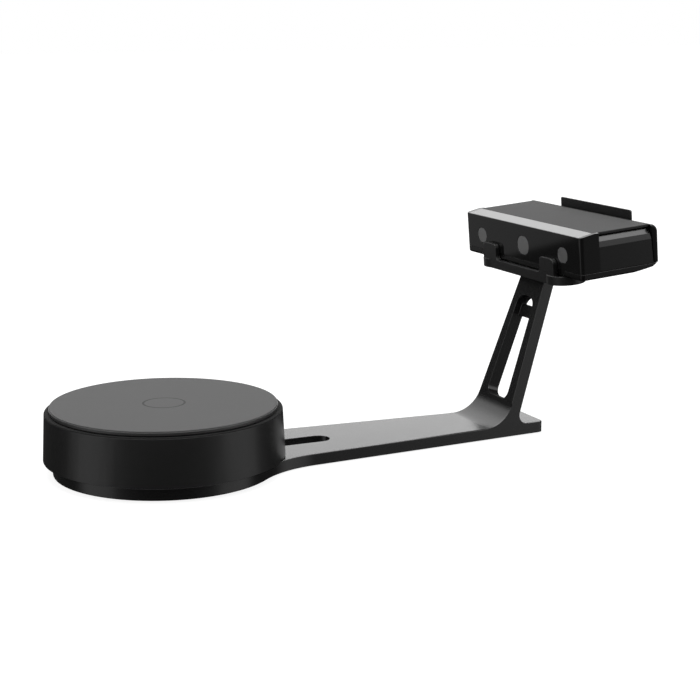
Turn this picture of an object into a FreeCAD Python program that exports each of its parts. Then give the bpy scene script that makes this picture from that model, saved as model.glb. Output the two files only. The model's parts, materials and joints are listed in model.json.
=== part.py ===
import FreeCAD, Part
import math
import os
import re
import Sketcher
from FreeCAD import Vector

# Desktop 3D scanner: a turntable and a scan head on one cast stand.
# Frame: +Z up, Z = turntable axis, z = 0 under the feet, +X along the arm to the head.

doc = FreeCAD.newDocument("desktop_scanner")

# ------------------------------------------------------------------ driving sizes (mm, degrees)
SIZES = {
    # stand casting: round base plate, flat arm, leaning column
    "pad_height": 1.0,            # feet stand proud of the casting
    "pad_recess": 0.8,            # feet are let into the casting
    "plate_thick": 10.7,
    "tail_end": 365.7,            # turntable axis to the end of the arm
    "arm_tail_half": 30.1,        # half width of the arm at its end
    "arm_side_angle": 3.77,
    "arm_flare_radius": 90.0,
    "tail_corner_radius": 5.0,
    "casting_edge": 0.6,          # small chamfer on the casting's upper edges
    "arm_slot_half": 10.6,
    "arm_slot_start": 84.0,
    "arm_slot_end": 156.2,
    "column_front": 323.5,        # front face of the column at the arm's top
    "column_thick": 11.6,
    "column_lean": 18.68,
    "column_height": 137.4,
    "column_side_angle": 3.65,
    "column_toe_radius": 30.0,
    "column_heel_radius": 8.0,
    "column_slot_bottom": 22.5,   # along the column, from its foot
    "column_slot_top": 122.0,
    "column_slot_low_half": 18.2,
    "column_slot_high_half": 13.8,
    "column_slot_low_round": 8.0,
    "column_slot_high_round": 11.0,
    "web_bottom": 101.9,
    "web_height": 12.1,
    "web_thick": 4.5,
    "web_inset": 0.4,             # web behind the column's rear face
    # feet
    "foot_radius": 9.0,
    "foot_edge": 14.9,            # foot centres inside the base plate's rim
    "foot_gap": 0.15,             # round every foot in its recess
    "arm_foot_start": 252.0,
    "arm_foot_end": 357.0,
    "arm_foot_inset": 4.0,
    # turntable housing and tray
    "drum_gap": 1.9,              # shadow groove between base plate and drum
    "groove_depth": 4.9,
    "drum_radius": 105.0,
    "drum_overhang": 8.1,         # drum beyond the base plate
    "drum_height": 41.8,
    "drum_draft": 2.0,            # radius lost from bottom to top
    "drum_edge": 0.8,
    "housing_wall": 2.6,
    "deck_thick": 3.0,
    "deck_hole_radius": 20.0,
    "tray_gap": 0.3,
    "tray_thick": 3.0,
    "post_radius": 4.2,
    "post_inset": 19.0,           # posts inside the drum's outer wall
    "boss_radius": 5.5,
    "boss_edge": 26.9,            # bosses inside the base plate's rim
    "boss_height": 9.0,
    # platter
    "platter_gap": 0.4,
    "platter_inset": 4.2,
    "platter_thick": 3.0,
    "mat_thick": 1.2,
    "mat_inset": 0.4,
    "mark_radius": 18.0,
    "mark_width": 0.7,
    "mark_depth": 0.3,
    # spindle and bearings
    "spindle_radius": 6.0,
    "flange_radius": 18.0,
    "flange_height": 6.0,
    "running_gap": 0.05,
    "bearing_radius": 14.0,
    "bearing_height": 8.0,
    "bearing_shoulder": 2.0,
    "bearing_spacing": 6.0,
    "hub_wall": 5.0,
    "platter_screw_circle": 12.0,
    # gear train
    "gear_module": 1.5,
    "gear_teeth": 64,
    "pinion_teeth": 16,
    "pressure_angle": 20.0,
    "backlash": 0.2,
    "gear_thick": 6.5,
    "gear_rim": 7.0,
    "gear_web": 3.0,
    "gear_hole_circle": 30.0,
    "gear_hole_radius": 7.0,
    # stepper motor and its bracket
    "motor_width": 42.3,
    "motor_height": 21.0,
    "motor_corner": 4.0,
    "motor_pilot_radius": 11.0,
    "motor_pilot_height": 1.8,
    "motor_shaft_radius": 2.5,
    "motor_shaft_depth": 14.0,
    "motor_screw_pitch": 31.0,
    "bracket_sheet": 2.0,
    "bracket_side_gap": 6.0,
    "bracket_foot": 9.0,
    "bracket_below_gear": 1.0,
    # turntable circuit board and its socket
    "pcb_thick": 1.6,
    "drum_pcb_height": 3.8,
    "drum_pcb_width": 62.0,
    "drum_pcb_depth": 34.0,
    "port_seat": 10.0,            # length of the socket that stands on the board
    "port_width": 14.0,
    "port_height": 12.0,
    "port_depth": 18.0,
    "port_bore_radius": 4.4,
    "port_bore_depth": 9.0,
    "port_window_gap": 0.3,
    "port_recess": 1.0,
    # cradle that carries the head
    "head_tilt": 4.76,
    "column_setback": 17.88,      # column front behind the cradle's lip
    "cradle_gap": 0.4,            # in front of and behind the head
    "seat_gap": 0.2,              # under the head
    "cradle_thick": 8.3,
    "cradle_beam": 34.0,
    "cradle_floor": 4.5,
    "cradle_half": 64.3,
    "ear_radius": 18.0,
    "ear_reach": 16.7,
    "ear_centre": 58.0,
    "lip_thick": 4.3,
    "lip_height": 0.5,
    "prong_height": 15.5,
    "prong_inner": 40.0,
    "prong_outer_round": 5.0,
    "prong_inner_round": 4.0,
    "rear_plate_thick": 1.6,
    "rear_plate_half": 60.4,
    "rear_plate_over": 6.9,
    "rear_plate_round": 2.0,
    "rear_window_half": 51.0,
    "rear_window_bottom": 4.5,
    "rear_window_top": 36.5,
    "rear_window_round": 5.0,
    "access_hole_radius": 9.0,
    # scan head covers
    "head_width": 208.0,
    "head_depth": 83.0,
    "face_height": 39.3,
    "bevel_depth": 15.1,
    "bevel_rise": 2.3,
    "cover_thick": 2.0,
    "cover_wall": 2.2,
    "cap_depth": 8.2,             # back cover, along the lid
    "cap_lean": 3.2,              # its front edge leans back towards the bottom
    "seam_gap": 0.3,
    "seam_height": 6.0,
    "shell_floor": 2.4,
    "shell_round": 2.5,
    "rise_start": 55.0,           # where the underside starts to rise to the back
    "rise_floor": 4.2,            # inner floor over the rising part
    "shell_rise": 3.0,
    "rear_slope": 7.0,
    "rear_edge": 7.2,
    "rear_round": 7.4,
    "rear_corner": 2.5,
    "mask_depth": 20.0,
    "mask_wall": 3.0,
    "mask_corner": 4.0,
    "trim_seat": 0.8,
    "skirt_height": 2.3,
    "lid_inset": 3.6,             # lid and strip end inside the mask's and back cover's sides
    "lid_gap": 1.1,               # shadow gap between lid and side covers
    "lid_lip": 3.0,               # lip under the lid, behind the side covers
    "lid_lip_thick": 1.6,
    "side_inset": 0.6,
    "side_slope_start": 28.4,
    "side_slope_in": 1.2,
    "side_crown_start": 33.4,
    "side_crown_in": 4.9,
    # windows and optics
    "window_height": 20.3,
    "camera_inset": 30.6,         # windows in from the ends of the head
    "projector_offset": -4.2,     # projector beside the middle of the head
    "camera_window_width": 16.6,
    "camera_window_high": 14.2,
    "projector_window_width": 20.4,
    "projector_window_high": 17.6,
    "window_thick": 1.4,
    "window_recess": 0.2,
    "window_gap": 0.08,
    "window_ledge": 1.0,
    "oval_flat": 0.01,            # shortest straight run between two rounded corners
    "lens_gap": 1.0,
    "camera_lens_radius": 5.6,
    "camera_lens_length": 10.0,
    "camera_width": 26.0,
    "camera_depth": 22.0,
    "projector_lens_radius": 7.6,
    "projector_lens_length": 13.0,
    "projector_width": 46.0,
    "projector_clear": 8.0,       # between the projector and the main board
    "projector_height": 25.0,
    "bench_lift": 2.0,
    "bench_thick": 3.0,
    "bench_start": 8.0,
    "bench_setback": 21.0,
    "bench_side_gap": 9.8,
    "bench_post_radius": 4.5,
    "bench_hole_front": 15.0,
    "bench_hole_pitch": 38.0,
    "bench_hole_half": 52.0,
    # head electronics
    "board_setback": 14.0,
    "board_low": 8.0,
    "board_high": 36.0,
    "board_left": -26.0,
    "board_right": 52.0,
    "board_rib_thick": 2.2,
    "board_rib_width": 8.0,
    "sink_height": 24.0,
    "sink_inset": 5.0,
    "sink_base": 3.0,
    "sink_reach": 17.0,
    "fin_thick": 1.4,
    "fin_count": 8,
    "usb_width": 12.0,
    "usb_height": 11.0,
    "usb_mouth_width": 8.5,
    "usb_mouth_height": 7.8,
    "usb_tongue_width": 5.7,
    "usb_tongue_height": 3.2,
    "jack_width": 9.0,
    "jack_height": 11.0,
    "jack_bore_radius": 3.2,
    "jack_pin_radius": 1.0,
    "socket_depth": 9.0,
    "socket_pitch": 19.0,
    "button_radius": 4.5,
    "button_gap": 0.25,
    "button_proud": 0.1,          # stays clear of the cradle's rear plate
    "button_edge": 0.5,
    "button_travel": 1.5,
    "button_flange": 1.4,
    "button_flange_thick": 1.1,
    "switch_width": 7.0,
    # cooling fan
    "fan_size": 25.0,
    "fan_thick": 10.0,
    "fan_side": 42.5,
    "fan_tube_radius": 11.4,
    "fan_hub_radius": 5.6,
    "fan_tip_gap": 0.5,
    "fan_pin_radius": 1.0,
    "fan_strut": 2.0,
    "fan_strut_thick": 1.4,
    "fan_blade": 1.0,
    "vent_width": 2.4,
    "vent_pitch": 4.6,
    "vent_height": 18.0,
    # threads and screws
    "tripod_radius": 3.175,       # 1/4 inch thread
    "tripod_depth": 6.6,
    "insert_radius": 5.4,
    "insert_gap": 0.05,
    "insert_wall": 2.0,
    "tripod_place": 41.5,
    "screw_radius": 1.9,
    "screw_head_radius": 3.6,
    "screw_head_thick": 2.4,
    "screw_gap": 0.1,
    "screw_sink": 0.6,            # heads under the head's lower shell sit this deep
    "screw_bite": 7.0,
    "hole_spare": 0.8,            # blind screw holes are this much deeper than their screws
    "small_screw_radius": 1.4,
    "small_head_radius": 2.6,
    "small_head_thick": 1.4,
    "cradle_screw_radius": 2.4,
    "cradle_head_radius": 4.4,
    "cradle_head_thick": 3.0,
    "cradle_screw_half": 11.0,
    "cradle_screw_bite": 9.0,
}

# Places worked out from the driving sizes.
PLACES = {
    # stand
    "plate_top": "pad_height + plate_thick",
    "arm_half_at_axis": "arm_tail_half + tail_end * tan(arm_side_angle)",
    "column_foot": "column_thick / cos(column_lean)",
    "column_top_x": "column_front + column_height * tan(column_lean)",
    "column_top_z": "plate_top + column_height",
    "column_top_run":
        "column_foot / (cos(head_tilt) - sin(head_tilt) * tan(column_lean))",
    # turntable
    "base_radius": "drum_radius - drum_overhang",
    "spigot_radius": "base_radius - groove_depth",
    "foot_circle": "base_radius - foot_edge",
    "boss_circle": "base_radius - boss_edge",
    "post_circle": "drum_radius - post_inset",
    "platter_radius": "drum_top_radius - platter_inset",
    "drum_bottom": "plate_top + drum_gap",
    "tray_floor": "drum_bottom + tray_thick",
    "drum_top": "drum_bottom + drum_height",
    "drum_top_radius": "drum_radius - drum_draft",
    "deck_under": "drum_top - deck_thick",
    "tray_radius": "drum_radius - housing_wall - tray_gap - drum_draft * tray_thick / drum_height",
    "platter_under": "drum_top + platter_gap",
    "platter_top": "platter_under + platter_thick",
    "flange_under": "platter_under - flange_height",
    "gear_under": "flange_under - gear_thick",
    "lower_bearing": "tray_floor + bearing_shoulder",
    "upper_bearing": "lower_bearing + bearing_height + bearing_spacing",
    "hub_top": "upper_bearing + bearing_height",
    "motor_place": "gear_module * (gear_teeth + pinion_teeth) / 2",
    "motor_face": "gear_under - bracket_below_gear - bracket_sheet",
    "bracket_half": "motor_width / 2 + bracket_side_gap + bracket_sheet",
    "drum_pcb_under": "tray_floor + drum_pcb_height",
    "drum_port_under": "drum_pcb_under + pcb_thick",
    "drum_port_centre": "drum_port_under + port_height / 2",
    "drum_port_face":
        "drum_radius - drum_draft * (drum_port_centre - drum_bottom) / drum_height - port_recess",
    "drum_pcb_start": "drum_port_face - port_depth + port_seat - drum_pcb_depth",
    # scan head: front face at x = 0, bottom at z = 0, centre plane y = 0, in the head's own frame
    "floor_under": "-(seat_gap + cradle_thick)",
    "lip_front": "-(cradle_gap + lip_thick)",
    "column_seat": "column_setback + lip_front",
    "head_x": "column_top_x - column_seat * cos(head_tilt) + floor_under * sin(head_tilt)",
    "head_z": "column_top_z - column_seat * sin(head_tilt) - floor_under * cos(head_tilt)",
    "head_half": "head_width / 2",
    "head_top": "face_height + bevel_rise",
    "cover_under": "head_top - cover_thick",
    "wall_inside": "head_half - cover_wall",
    "lid_half": "head_half - lid_inset",
    "trim_half": "lid_half - trim_seat",
    "seam_top": "seam_height + seam_gap",
    "shell_back": "head_depth - rear_slope * (rear_edge - seam_height) / (rear_edge - shell_rise)",
    "cover_end": "head_depth - cap_depth",
    "cap_start": "cover_end + seam_gap",
    "lid_lip_out": "head_half - side_inset - side_crown_in - cover_wall - seam_gap",
    "camera_pitch": "head_width - 2 * camera_inset",
    "cap_inside": "head_depth - cover_wall",
    "rear_plate_front": "head_depth + cradle_gap",
    "rear_plate_back": "rear_plate_front + rear_plate_thick",
    "bench_under": "shell_floor + bench_lift",
    "bench_end": "head_depth - bench_setback",
    "bench_half": "wall_inside - bench_side_gap",
    "board_front": "head_depth - board_setback",
    "bench_top": "bench_under + bench_thick",
    "lens_front": "mask_wall + lens_gap",
    "camera_front": "lens_front + camera_lens_length",
    "camera_half": "window_height - bench_top",
    "projector_front": "lens_front + projector_lens_length",
    "projector_side": "projector_offset + projector_width / 2",
    "projector_depth": "board_front - projector_clear - projector_front",
    "sink_depth": "projector_depth - 2 * sink_inset",
    "board_back": "board_front + pcb_thick",
    "switch_end": "cap_inside - seam_gap - button_flange_thick - button_travel - seam_gap",
    "fan_front": "cap_inside - fan_thick",
    "fan_centre": "seam_top + cover_wall + seam_gap + fan_size / 2",
    "rotor_front": "fan_front + fan_strut_thick + 0.5",
    "column_seat_middle": "column_seat + column_top_run / 2",
}

sheet = doc.addObject("Spreadsheet::Sheet", "Sizes")
for row, (alias, value) in enumerate(SIZES.items(), 1):
    sheet.set(f"A{row}", alias)
    sheet.set(f"B{row}", str(value))
    sheet.setAlias(f"B{row}", alias)
doc.recompute()


def link(text):
    """An expression with every size tied to its cell and every place worked out."""
    def spell(match):
        word = match.group()
        if word in PLACES:
            return "(" + link(PLACES[word]) + ")"
        return "Sizes." + word if word in SIZES else word
    return re.sub(r"[a-z][a-z0-9_]*", spell, str(text))


def number(text):
    """The value of an expression at the present sizes."""
    return float(sheet.evalExpression(link(text)))


# ------------------------------------------------------------------ sketch and feature helpers
subparts = []


def new_body(name, in_head=False):
    """A body with its own label; a piece of the scan head is built in the head's frame."""
    body = doc.addObject("PartDesign::Body", name)
    body.Label = name
    body.AllowCompound = True
    if in_head:
        body.Placement = FreeCAD.Placement(Vector(), FreeCAD.Rotation(Vector(0, -1, 0), 1))
        body.setExpression("Placement.Base.x", link("head_x"))
        body.setExpression("Placement.Base.z", link("head_z"))
        body.setExpression("Placement.Rotation.Angle", link("head_tilt"))
    subparts.append(body)
    return body


def sketch_on(body, plane, height="0"):
    """An empty sketch on one of the body's origin planes, moved along the plane's normal."""
    sketch = body.newObject("Sketcher::SketchObject", body.Label + "_sketch")
    face = next(item for item in body.Origin.OriginFeatures if item.Role == plane)
    sketch.AttachmentSupport = [(face, "")]
    sketch.MapMode = "FlatFace"
    sketch.setExpression("AttachmentOffset.Base.z", link(height))
    return sketch


def pin(sketch, geometry, point, x, y):
    """Ties one point of a sketch to a place given by two expressions."""
    for kind, text in (("DistanceX", x), ("DistanceY", y)):
        index = sketch.addConstraint(
            Sketcher.Constraint(kind, -1, 1, geometry, point, number(text)))
        sketch.setExpression(f"Constraints[{index}]", link(text))


def set_radius(sketch, geometry, text):
    index = sketch.addConstraint(Sketcher.Constraint("Radius", geometry, number(text)))
    sketch.setExpression(f"Constraints[{index}]", link(text))


def circle(sketch, x, y, radius):
    spot = Vector(number(x), number(y), 0)
    index = sketch.addGeometry(Part.Circle(spot, Vector(0, 0, 1), number(radius)), False)
    pin(sketch, index, 3, x, y)
    set_radius(sketch, index, radius)


def outline(sketch, corners):
    """A closed outline. Each corner is (x, y), or (x, y, radius) where it is rounded."""
    spots = [Vector(number(c[0]), number(c[1]), 0) for c in corners]
    count = len(corners)
    arrive, leave, arcs = {}, {}, {}
    for i, corner in enumerate(corners):
        arrive[i] = leave[i] = spots[i]
        if len(corner) == 3:
            radius = number(corner[2])
            back = (spots[i - 1] - spots[i]).normalize()
            ahead = (spots[(i + 1) % count] - spots[i]).normalize()
            half = back.getAngle(ahead) / 2
            arrive[i] = spots[i] + back * (radius / math.tan(half))
            leave[i] = spots[i] + ahead * (radius / math.tan(half))
            centre = spots[i] + (back + ahead).normalize() * (radius / math.sin(half))
            arcs[i] = (centre, radius, back.cross(ahead).z < 0)
    lines = [sketch.addGeometry(Part.LineSegment(leave[i], arrive[(i + 1) % count]), False)
             for i in range(count)]
    for i, corner in enumerate(corners):
        before, after = lines[i - 1], lines[i]
        if i not in arcs:
            sketch.addConstraint(Sketcher.Constraint("Coincident", before, 2, after, 1))
            pin(sketch, after, 1, corner[0], corner[1])
            continue
        centre, radius, left_turn = arcs[i]
        first, last = (arrive[i], leave[i]) if left_turn else (leave[i], arrive[i])
        angles = [math.atan2(p.y - centre.y, p.x - centre.x) for p in (first, last)]
        ring = Part.Circle(centre, Vector(0, 0, 1), radius)
        arc = sketch.addGeometry(Part.ArcOfCircle(ring, angles[0], angles[1]), False)
        inward, outward = (1, 2) if left_turn else (2, 1)
        sketch.addConstraint(Sketcher.Constraint("Tangent", before, 2, arc, inward))
        sketch.addConstraint(Sketcher.Constraint("Tangent", arc, outward, after, 1))
        set_radius(sketch, arc, corner[2])
        mark = sketch.addGeometry(Part.Point(spots[i]), True)
        pin(sketch, mark, 1, corner[0], corner[1])
        sketch.addConstraint(Sketcher.Constraint("PointOnObject", mark, 1, before))
        sketch.addConstraint(Sketcher.Constraint("PointOnObject", mark, 1, after))


def rectangle(sketch, x_low, x_high, y_low, y_high, radius=None):
    corners = [(x_low, y_low), (x_high, y_low), (x_high, y_high), (x_low, y_high)]
    outline(sketch, [c + (radius,) for c in corners] if radius else corners)


def feature(body, kind, sketch, **settings):
    """A feature of a sketch. A text setting is an expression, anything else a plain value."""
    made = body.newObject("PartDesign::" + kind, body.Label + "_" + kind.lower())
    made.Profile = sketch
    for name, setting in settings.items():
        if isinstance(setting, str) and name in ("Length", "Length2", "TaperAngle"):
            made.setExpression(name, link(setting))
        else:
            setattr(made, name, setting)
    sketch.Visibility = False
    return made


def pad(body, sketch, length, **settings):
    return feature(body, "Pad", sketch, Length=length, **settings)


def pocket(body, sketch, length, **settings):
    return feature(body, "Pocket", sketch, Length=length, **settings)


def revolve(body, sketch):
    """Turns a sketch on the XZ plane once round the body's Z axis."""
    return feature(body, "Revolution", sketch, ReferenceAxis=(sketch, ["V_Axis"]), Angle=360)


def round_edges(body, radius, wanted, kind="Fillet"):
    """Rounds, or chamfers, the edges of the body's last feature that pass a test."""
    doc.recompute()
    base = body.Tip
    names = [f"Edge{i}" for i, edge in enumerate(base.Shape.Edges, 1) if wanted(edge)]
    made = body.newObject("PartDesign::" + kind, body.Label + "_" + kind.lower())
    made.Base = (base, names)
    made.setExpression("Radius" if kind == "Fillet" else "Size", link(radius))
    return made


def middle(edge):
    return edge.valueAt((edge.FirstParameter + edge.LastParameter) / 2)


def along(edge, axis):
    """True for a straight edge that runs along an axis."""
    if not isinstance(edge.Curve, Part.Line):
        return False
    return abs(abs(edge.tangentAt(edge.FirstParameter).dot(axis)) - 1) < 1e-6


def near(value, text):
    return abs(value - number(text)) < 0.01


X_AXIS, Z_AXIS = Vector(1, 0, 0), Vector(0, 0, 1)
SIDES = ("", "-")


def ring_places(radius, count, first=0):
    """Evenly spaced places on a circle, as pairs of expressions."""
    angles = [first + 360 * i / count for i in range(count)]
    return [(f"{radius} * cos({a})", f"{radius} * sin({a})") for a in angles]


def round_pins(body, plane, start, places, radius, length, **settings):
    """Equal round pins, standing on a plane of the body at each place."""
    sketch = sketch_on(body, plane, start)
    for x, y in places:
        circle(sketch, x, y, radius)
    return pad(body, sketch, length, **settings)


def round_holes(body, plane, start, places, radius, length, **settings):
    """Equal round holes, cut from a plane of the body at each place."""
    sketch = sketch_on(body, plane, start)
    for x, y in places:
        circle(sketch, x, y, radius)
    return pocket(body, sketch, length, **settings)


# ------------------------------------------------------------------ where the screws go
BOSSES = ring_places("boss_circle", 4, 45)
POSTS = ring_places("post_circle", 4, 45)
FEET = ring_places("foot_circle", 4, 22.5) + [("0", "0")]
PLATTER_SCREWS = ring_places("platter_screw_circle", 3, 90)
MOTOR_SCREWS = [(f"-motor_place + {i} * motor_screw_pitch / 2", f"{j} * motor_screw_pitch / 2")
                for i in (-1, 1) for j in (-1, 1)]
WINDOWS = {"camera_window_right": ("camera", "-camera_pitch / 2"),
           "projector_window": ("projector", "projector_offset"),
           "camera_window_left": ("camera", "camera_pitch / 2")}
BENCH_SCREWS = [(f"bench_hole_front + {i} * bench_hole_pitch", f"{side}bench_hole_half")
                for i in (0, 1) for side in SIDES]
CRADLE_SCREWS = [("column_seat_middle", side + "cradle_screw_half") for side in SIDES]


def arm_half(x):
    """Half width of the arm at a distance from the turntable axis."""
    return f"(arm_half_at_axis - ({x}) * tan(arm_side_angle))"


# ------------------------------------------------------------------ stand
def stand_casting():
    """Base plate, arm and column cast in one, with a cable slot in the arm and the column."""
    body = new_body("stand_casting")
    plate = sketch_on(body, "XY_Plane", "pad_height")
    circle(plate, "0", "0", "base_radius")
    pad(body, plate, "plate_thick")
    arm = sketch_on(body, "XY_Plane", "pad_height")
    outline(arm, [("0", "-arm_half_at_axis"),
                  ("tail_end", "-arm_tail_half", "tail_corner_radius"),
                  ("tail_end", "arm_tail_half", "tail_corner_radius"),
                  ("0", "arm_half_at_axis")])
    pad(body, arm, "plate_thick")
    round_edges(body, "arm_flare_radius", lambda e: along(e, Z_AXIS) and middle(e).x > 10
                and near(math.hypot(middle(e).x, middle(e).y), "base_radius"))
    round_edges(body, "casting_edge", lambda e: near(middle(e).z, "plate_top")
                and not along(e, Z_AXIS) and middle(e).x > 1, kind="Chamfer")

    column = sketch_on(body, "XZ_Plane")
    toe = "column_toe_radius * tan((90 - column_lean) / 2)"
    heel = "column_heel_radius * tan((90 + column_lean) / 2)"
    outline(column, [
        (f"column_front - {toe} - 1", "plate_top - 1"),
        (f"column_front - {toe} - 1", "plate_top"),
        ("column_front", "plate_top", "column_toe_radius"),
        ("column_top_x", "column_top_z"),
        ("column_top_x + column_top_run * cos(head_tilt)",
         "column_top_z + column_top_run * sin(head_tilt)"),
        ("column_front + column_foot", "plate_top", "column_heel_radius"),
        (f"column_front + column_foot + {heel} + 1", "plate_top"),
        (f"column_front + column_foot + {heel} + 1", "plate_top - 1"),
    ])
    pad(body, column, "2 * arm_half_at_axis", SideType="Symmetric")
    for side in SIDES:
        start, end = "column_front - 3 * column_toe_radius", "tail_end + 2 * column_toe_radius"
        cut = sketch_on(body, "XY_Plane", "plate_top - 1")
        outline(cut, [(start, side + arm_half(start)), (end, side + arm_half(end)),
                      (end, side + "(2 * arm_half_at_axis)"),
                      (start, side + "(2 * arm_half_at_axis)")])
        pocket(body, cut, "1.2 * column_height", Reversed=True, TaperAngle="column_side_angle")

    slot = on_column(body, "0")
    outline(slot, [
        ("-column_slot_low_half", "column_slot_bottom", "column_slot_low_round"),
        ("column_slot_low_half", "column_slot_bottom", "column_slot_low_round"),
        ("column_slot_high_half", "column_slot_top", "column_slot_high_round"),
        ("-column_slot_high_half", "column_slot_top", "column_slot_high_round")])
    pocket(body, slot, "2 * column_thick", SideType="Symmetric")
    web = on_column(body, "column_thick - web_thick - web_inset")
    rectangle(web, "-column_slot_low_half", "column_slot_low_half",
              "web_bottom", "web_bottom + web_height")
    pad(body, web, "web_thick")

    slot = sketch_on(body, "XY_Plane", "plate_top")
    rectangle(slot, "arm_slot_start", "arm_slot_end", "-arm_slot_half", "arm_slot_half",
              "arm_slot_half - oval_flat")
    pocket(body, slot, "2 * plate_thick")

    round_holes(body, "XY_Plane", "pad_height", FEET, "foot_radius + foot_gap", "pad_recess",
                Reversed=True)
    recess = sketch_on(body, "XY_Plane", "pad_height")
    outline(recess, arm_foot_corners("foot_gap"))
    pocket(body, recess, "pad_recess", Reversed=True)
    round_holes(body, "XY_Plane", "pad_height", BOSSES, "screw_head_radius + screw_gap",
                "screw_head_thick + 1", Reversed=True)
    round_holes(body, "XY_Plane", "pad_height", BOSSES, "screw_radius + screw_gap",
                "2 * plate_thick", Reversed=True)
    holes = under_cradle(body)
    for x, y in CRADLE_SCREWS:
        circle(holes, x, y, "cradle_screw_radius + screw_gap")
    pocket(body, holes, "cradle_screw_bite + hole_spare")


def on_column(body, depth):
    """A sketch in the column's front face, moved into it: x across, y up from the foot."""
    sketch = sketch_on(body, "YZ_Plane")
    sketch.setExpression("AttachmentOffset.Base.y", link(f"plate_top - ({depth}) * sin(column_lean)"))
    sketch.setExpression("AttachmentOffset.Base.z",
                         link(f"column_front + ({depth}) * cos(column_lean)"))
    turn = sketch.AttachmentOffset
    turn.Rotation = FreeCAD.Rotation(X_AXIS, 1)
    sketch.AttachmentOffset = turn
    sketch.setExpression("AttachmentOffset.Rotation.Angle", link("column_lean"))
    return sketch


def under_cradle(body):
    """A sketch in the plane where the column meets the cradle, in the head's directions."""
    sketch = sketch_on(body, "XY_Plane")
    turn = sketch.AttachmentOffset
    turn.Rotation = FreeCAD.Rotation(Vector(0, -1, 0), 1)
    sketch.AttachmentOffset = turn
    sketch.setExpression("AttachmentOffset.Rotation.Angle", link("head_tilt"))
    sketch.setExpression("AttachmentOffset.Base.x",
                         link("head_x - floor_under * sin(head_tilt)"))
    sketch.setExpression("AttachmentOffset.Base.z",
                         link("head_z + floor_under * cos(head_tilt)"))
    return sketch


def arm_foot_corners(gap):
    """Outline of the long foot under the tail of the arm, grown by a gap."""
    start, end = f"arm_foot_start - {gap}", f"arm_foot_end + {gap}"
    wide = arm_half(start) + f" - arm_foot_inset + {gap}"
    slim = arm_half(end) + f" - arm_foot_inset + {gap}"
    return [(start, f"-({wide})", "foot_radius"), (end, f"-({slim})", "foot_radius"),
            (end, slim, "foot_radius"), (start, wide, "foot_radius")]


def base_feet():
    """Round rubber feet under the base plate: four near its rim and one at its centre."""
    body = new_body("base_feet")
    round_pins(body, "XY_Plane", "0", FEET, "foot_radius", "pad_height + pad_recess")


def arm_foot():
    """The long rubber foot under the column."""
    body = new_body("arm_foot")
    sketch = sketch_on(body, "XY_Plane")
    outline(sketch, arm_foot_corners("0"))
    pad(body, sketch, "pad_height + pad_recess")


def turntable_screws():
    """Four screws that hold the turntable down on the base plate."""
    body = new_body("turntable_screws")
    round_pins(body, "XY_Plane", "pad_height + 1", BOSSES, "screw_head_radius",
               "screw_head_thick")
    round_pins(body, "XY_Plane", "pad_height + 1 + screw_head_thick", BOSSES, "screw_radius",
               "tray_floor + screw_bite - pad_height - 1 - screw_head_thick")


# ------------------------------------------------------------------ turntable
def turntable_tray():
    """Floor of the turntable, with the bearing hub, screw bosses and board posts."""
    body = new_body("turntable_tray")
    section = sketch_on(body, "XZ_Plane")
    outline(section, [
        ("bearing_radius - bearing_shoulder", "plate_top"), ("spigot_radius", "plate_top"),
        ("spigot_radius", "drum_bottom"), ("tray_radius", "drum_bottom"),
        ("tray_radius", "tray_floor"), ("bearing_radius + hub_wall", "tray_floor"),
        ("bearing_radius + hub_wall", "hub_top"),
        ("bearing_radius + running_gap", "hub_top"),
        ("bearing_radius + running_gap", "lower_bearing"),
        ("bearing_radius - bearing_shoulder", "lower_bearing")])
    revolve(body, section)
    round_pins(body, "XY_Plane", "tray_floor - 1", BOSSES, "boss_radius", "boss_height + 1")
    round_pins(body, "XY_Plane", "tray_floor - 1", drum_board_holes(), "post_radius - 1",
               "drum_pcb_height + 1")
    round_holes(body, "XY_Plane", "plate_top", BOSSES, "screw_radius + screw_gap",
                "tray_floor + screw_bite + hole_spare - plate_top", Reversed=True)
    round_holes(body, "XY_Plane", "plate_top", POSTS, "small_head_radius + screw_gap",
                "drum_gap + small_head_thick", Reversed=True)
    round_holes(body, "XY_Plane", "plate_top", POSTS, "small_screw_radius + screw_gap",
                "2 * drum_gap + 2 * tray_thick", Reversed=True)
    round_holes(body, "XY_Plane", "drum_pcb_under", drum_board_holes(),
                "small_screw_radius + screw_gap", "drum_pcb_height")


def drum_board_holes():
    """Places of the turntable board's four screws."""
    edge = "2 * small_head_radius"
    return [(f"{side}(drum_pcb_width / 2 - {edge})", y) for side in SIDES
            for y in (f"drum_pcb_start + {edge}", f"drum_pcb_start + drum_pcb_depth - {edge}")]


def turntable_housing():
    """Drum of the turntable: tapered wall, deck under the platter, four screw posts."""
    body = new_body("turntable_housing")
    section = sketch_on(body, "XZ_Plane")
    outline(section, [
        ("drum_radius - housing_wall", "drum_bottom"), ("drum_radius", "drum_bottom"),
        ("drum_top_radius", "drum_top - drum_edge"),
        ("drum_top_radius - drum_edge", "drum_top"), ("deck_hole_radius", "drum_top"),
        ("deck_hole_radius", "deck_under"),
        ("drum_top_radius - housing_wall", "deck_under")])
    revolve(body, section)
    round_pins(body, "XY_Plane", "tray_floor", POSTS, "post_radius",
               "deck_under - tray_floor + 1")
    round_holes(body, "XY_Plane", "tray_floor", POSTS, "small_screw_radius + screw_gap",
                "screw_bite + hole_spare", Reversed=True)
    window = sketch_on(body, "XZ_Plane", "-drum_radius")
    rectangle(window, "-(port_width / 2 + port_window_gap)", "port_width / 2 + port_window_gap",
              "drum_port_under - port_window_gap",
              "drum_port_under + port_height + port_window_gap")
    pocket(body, window, "drum_radius / 2", Reversed=True)


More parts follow.
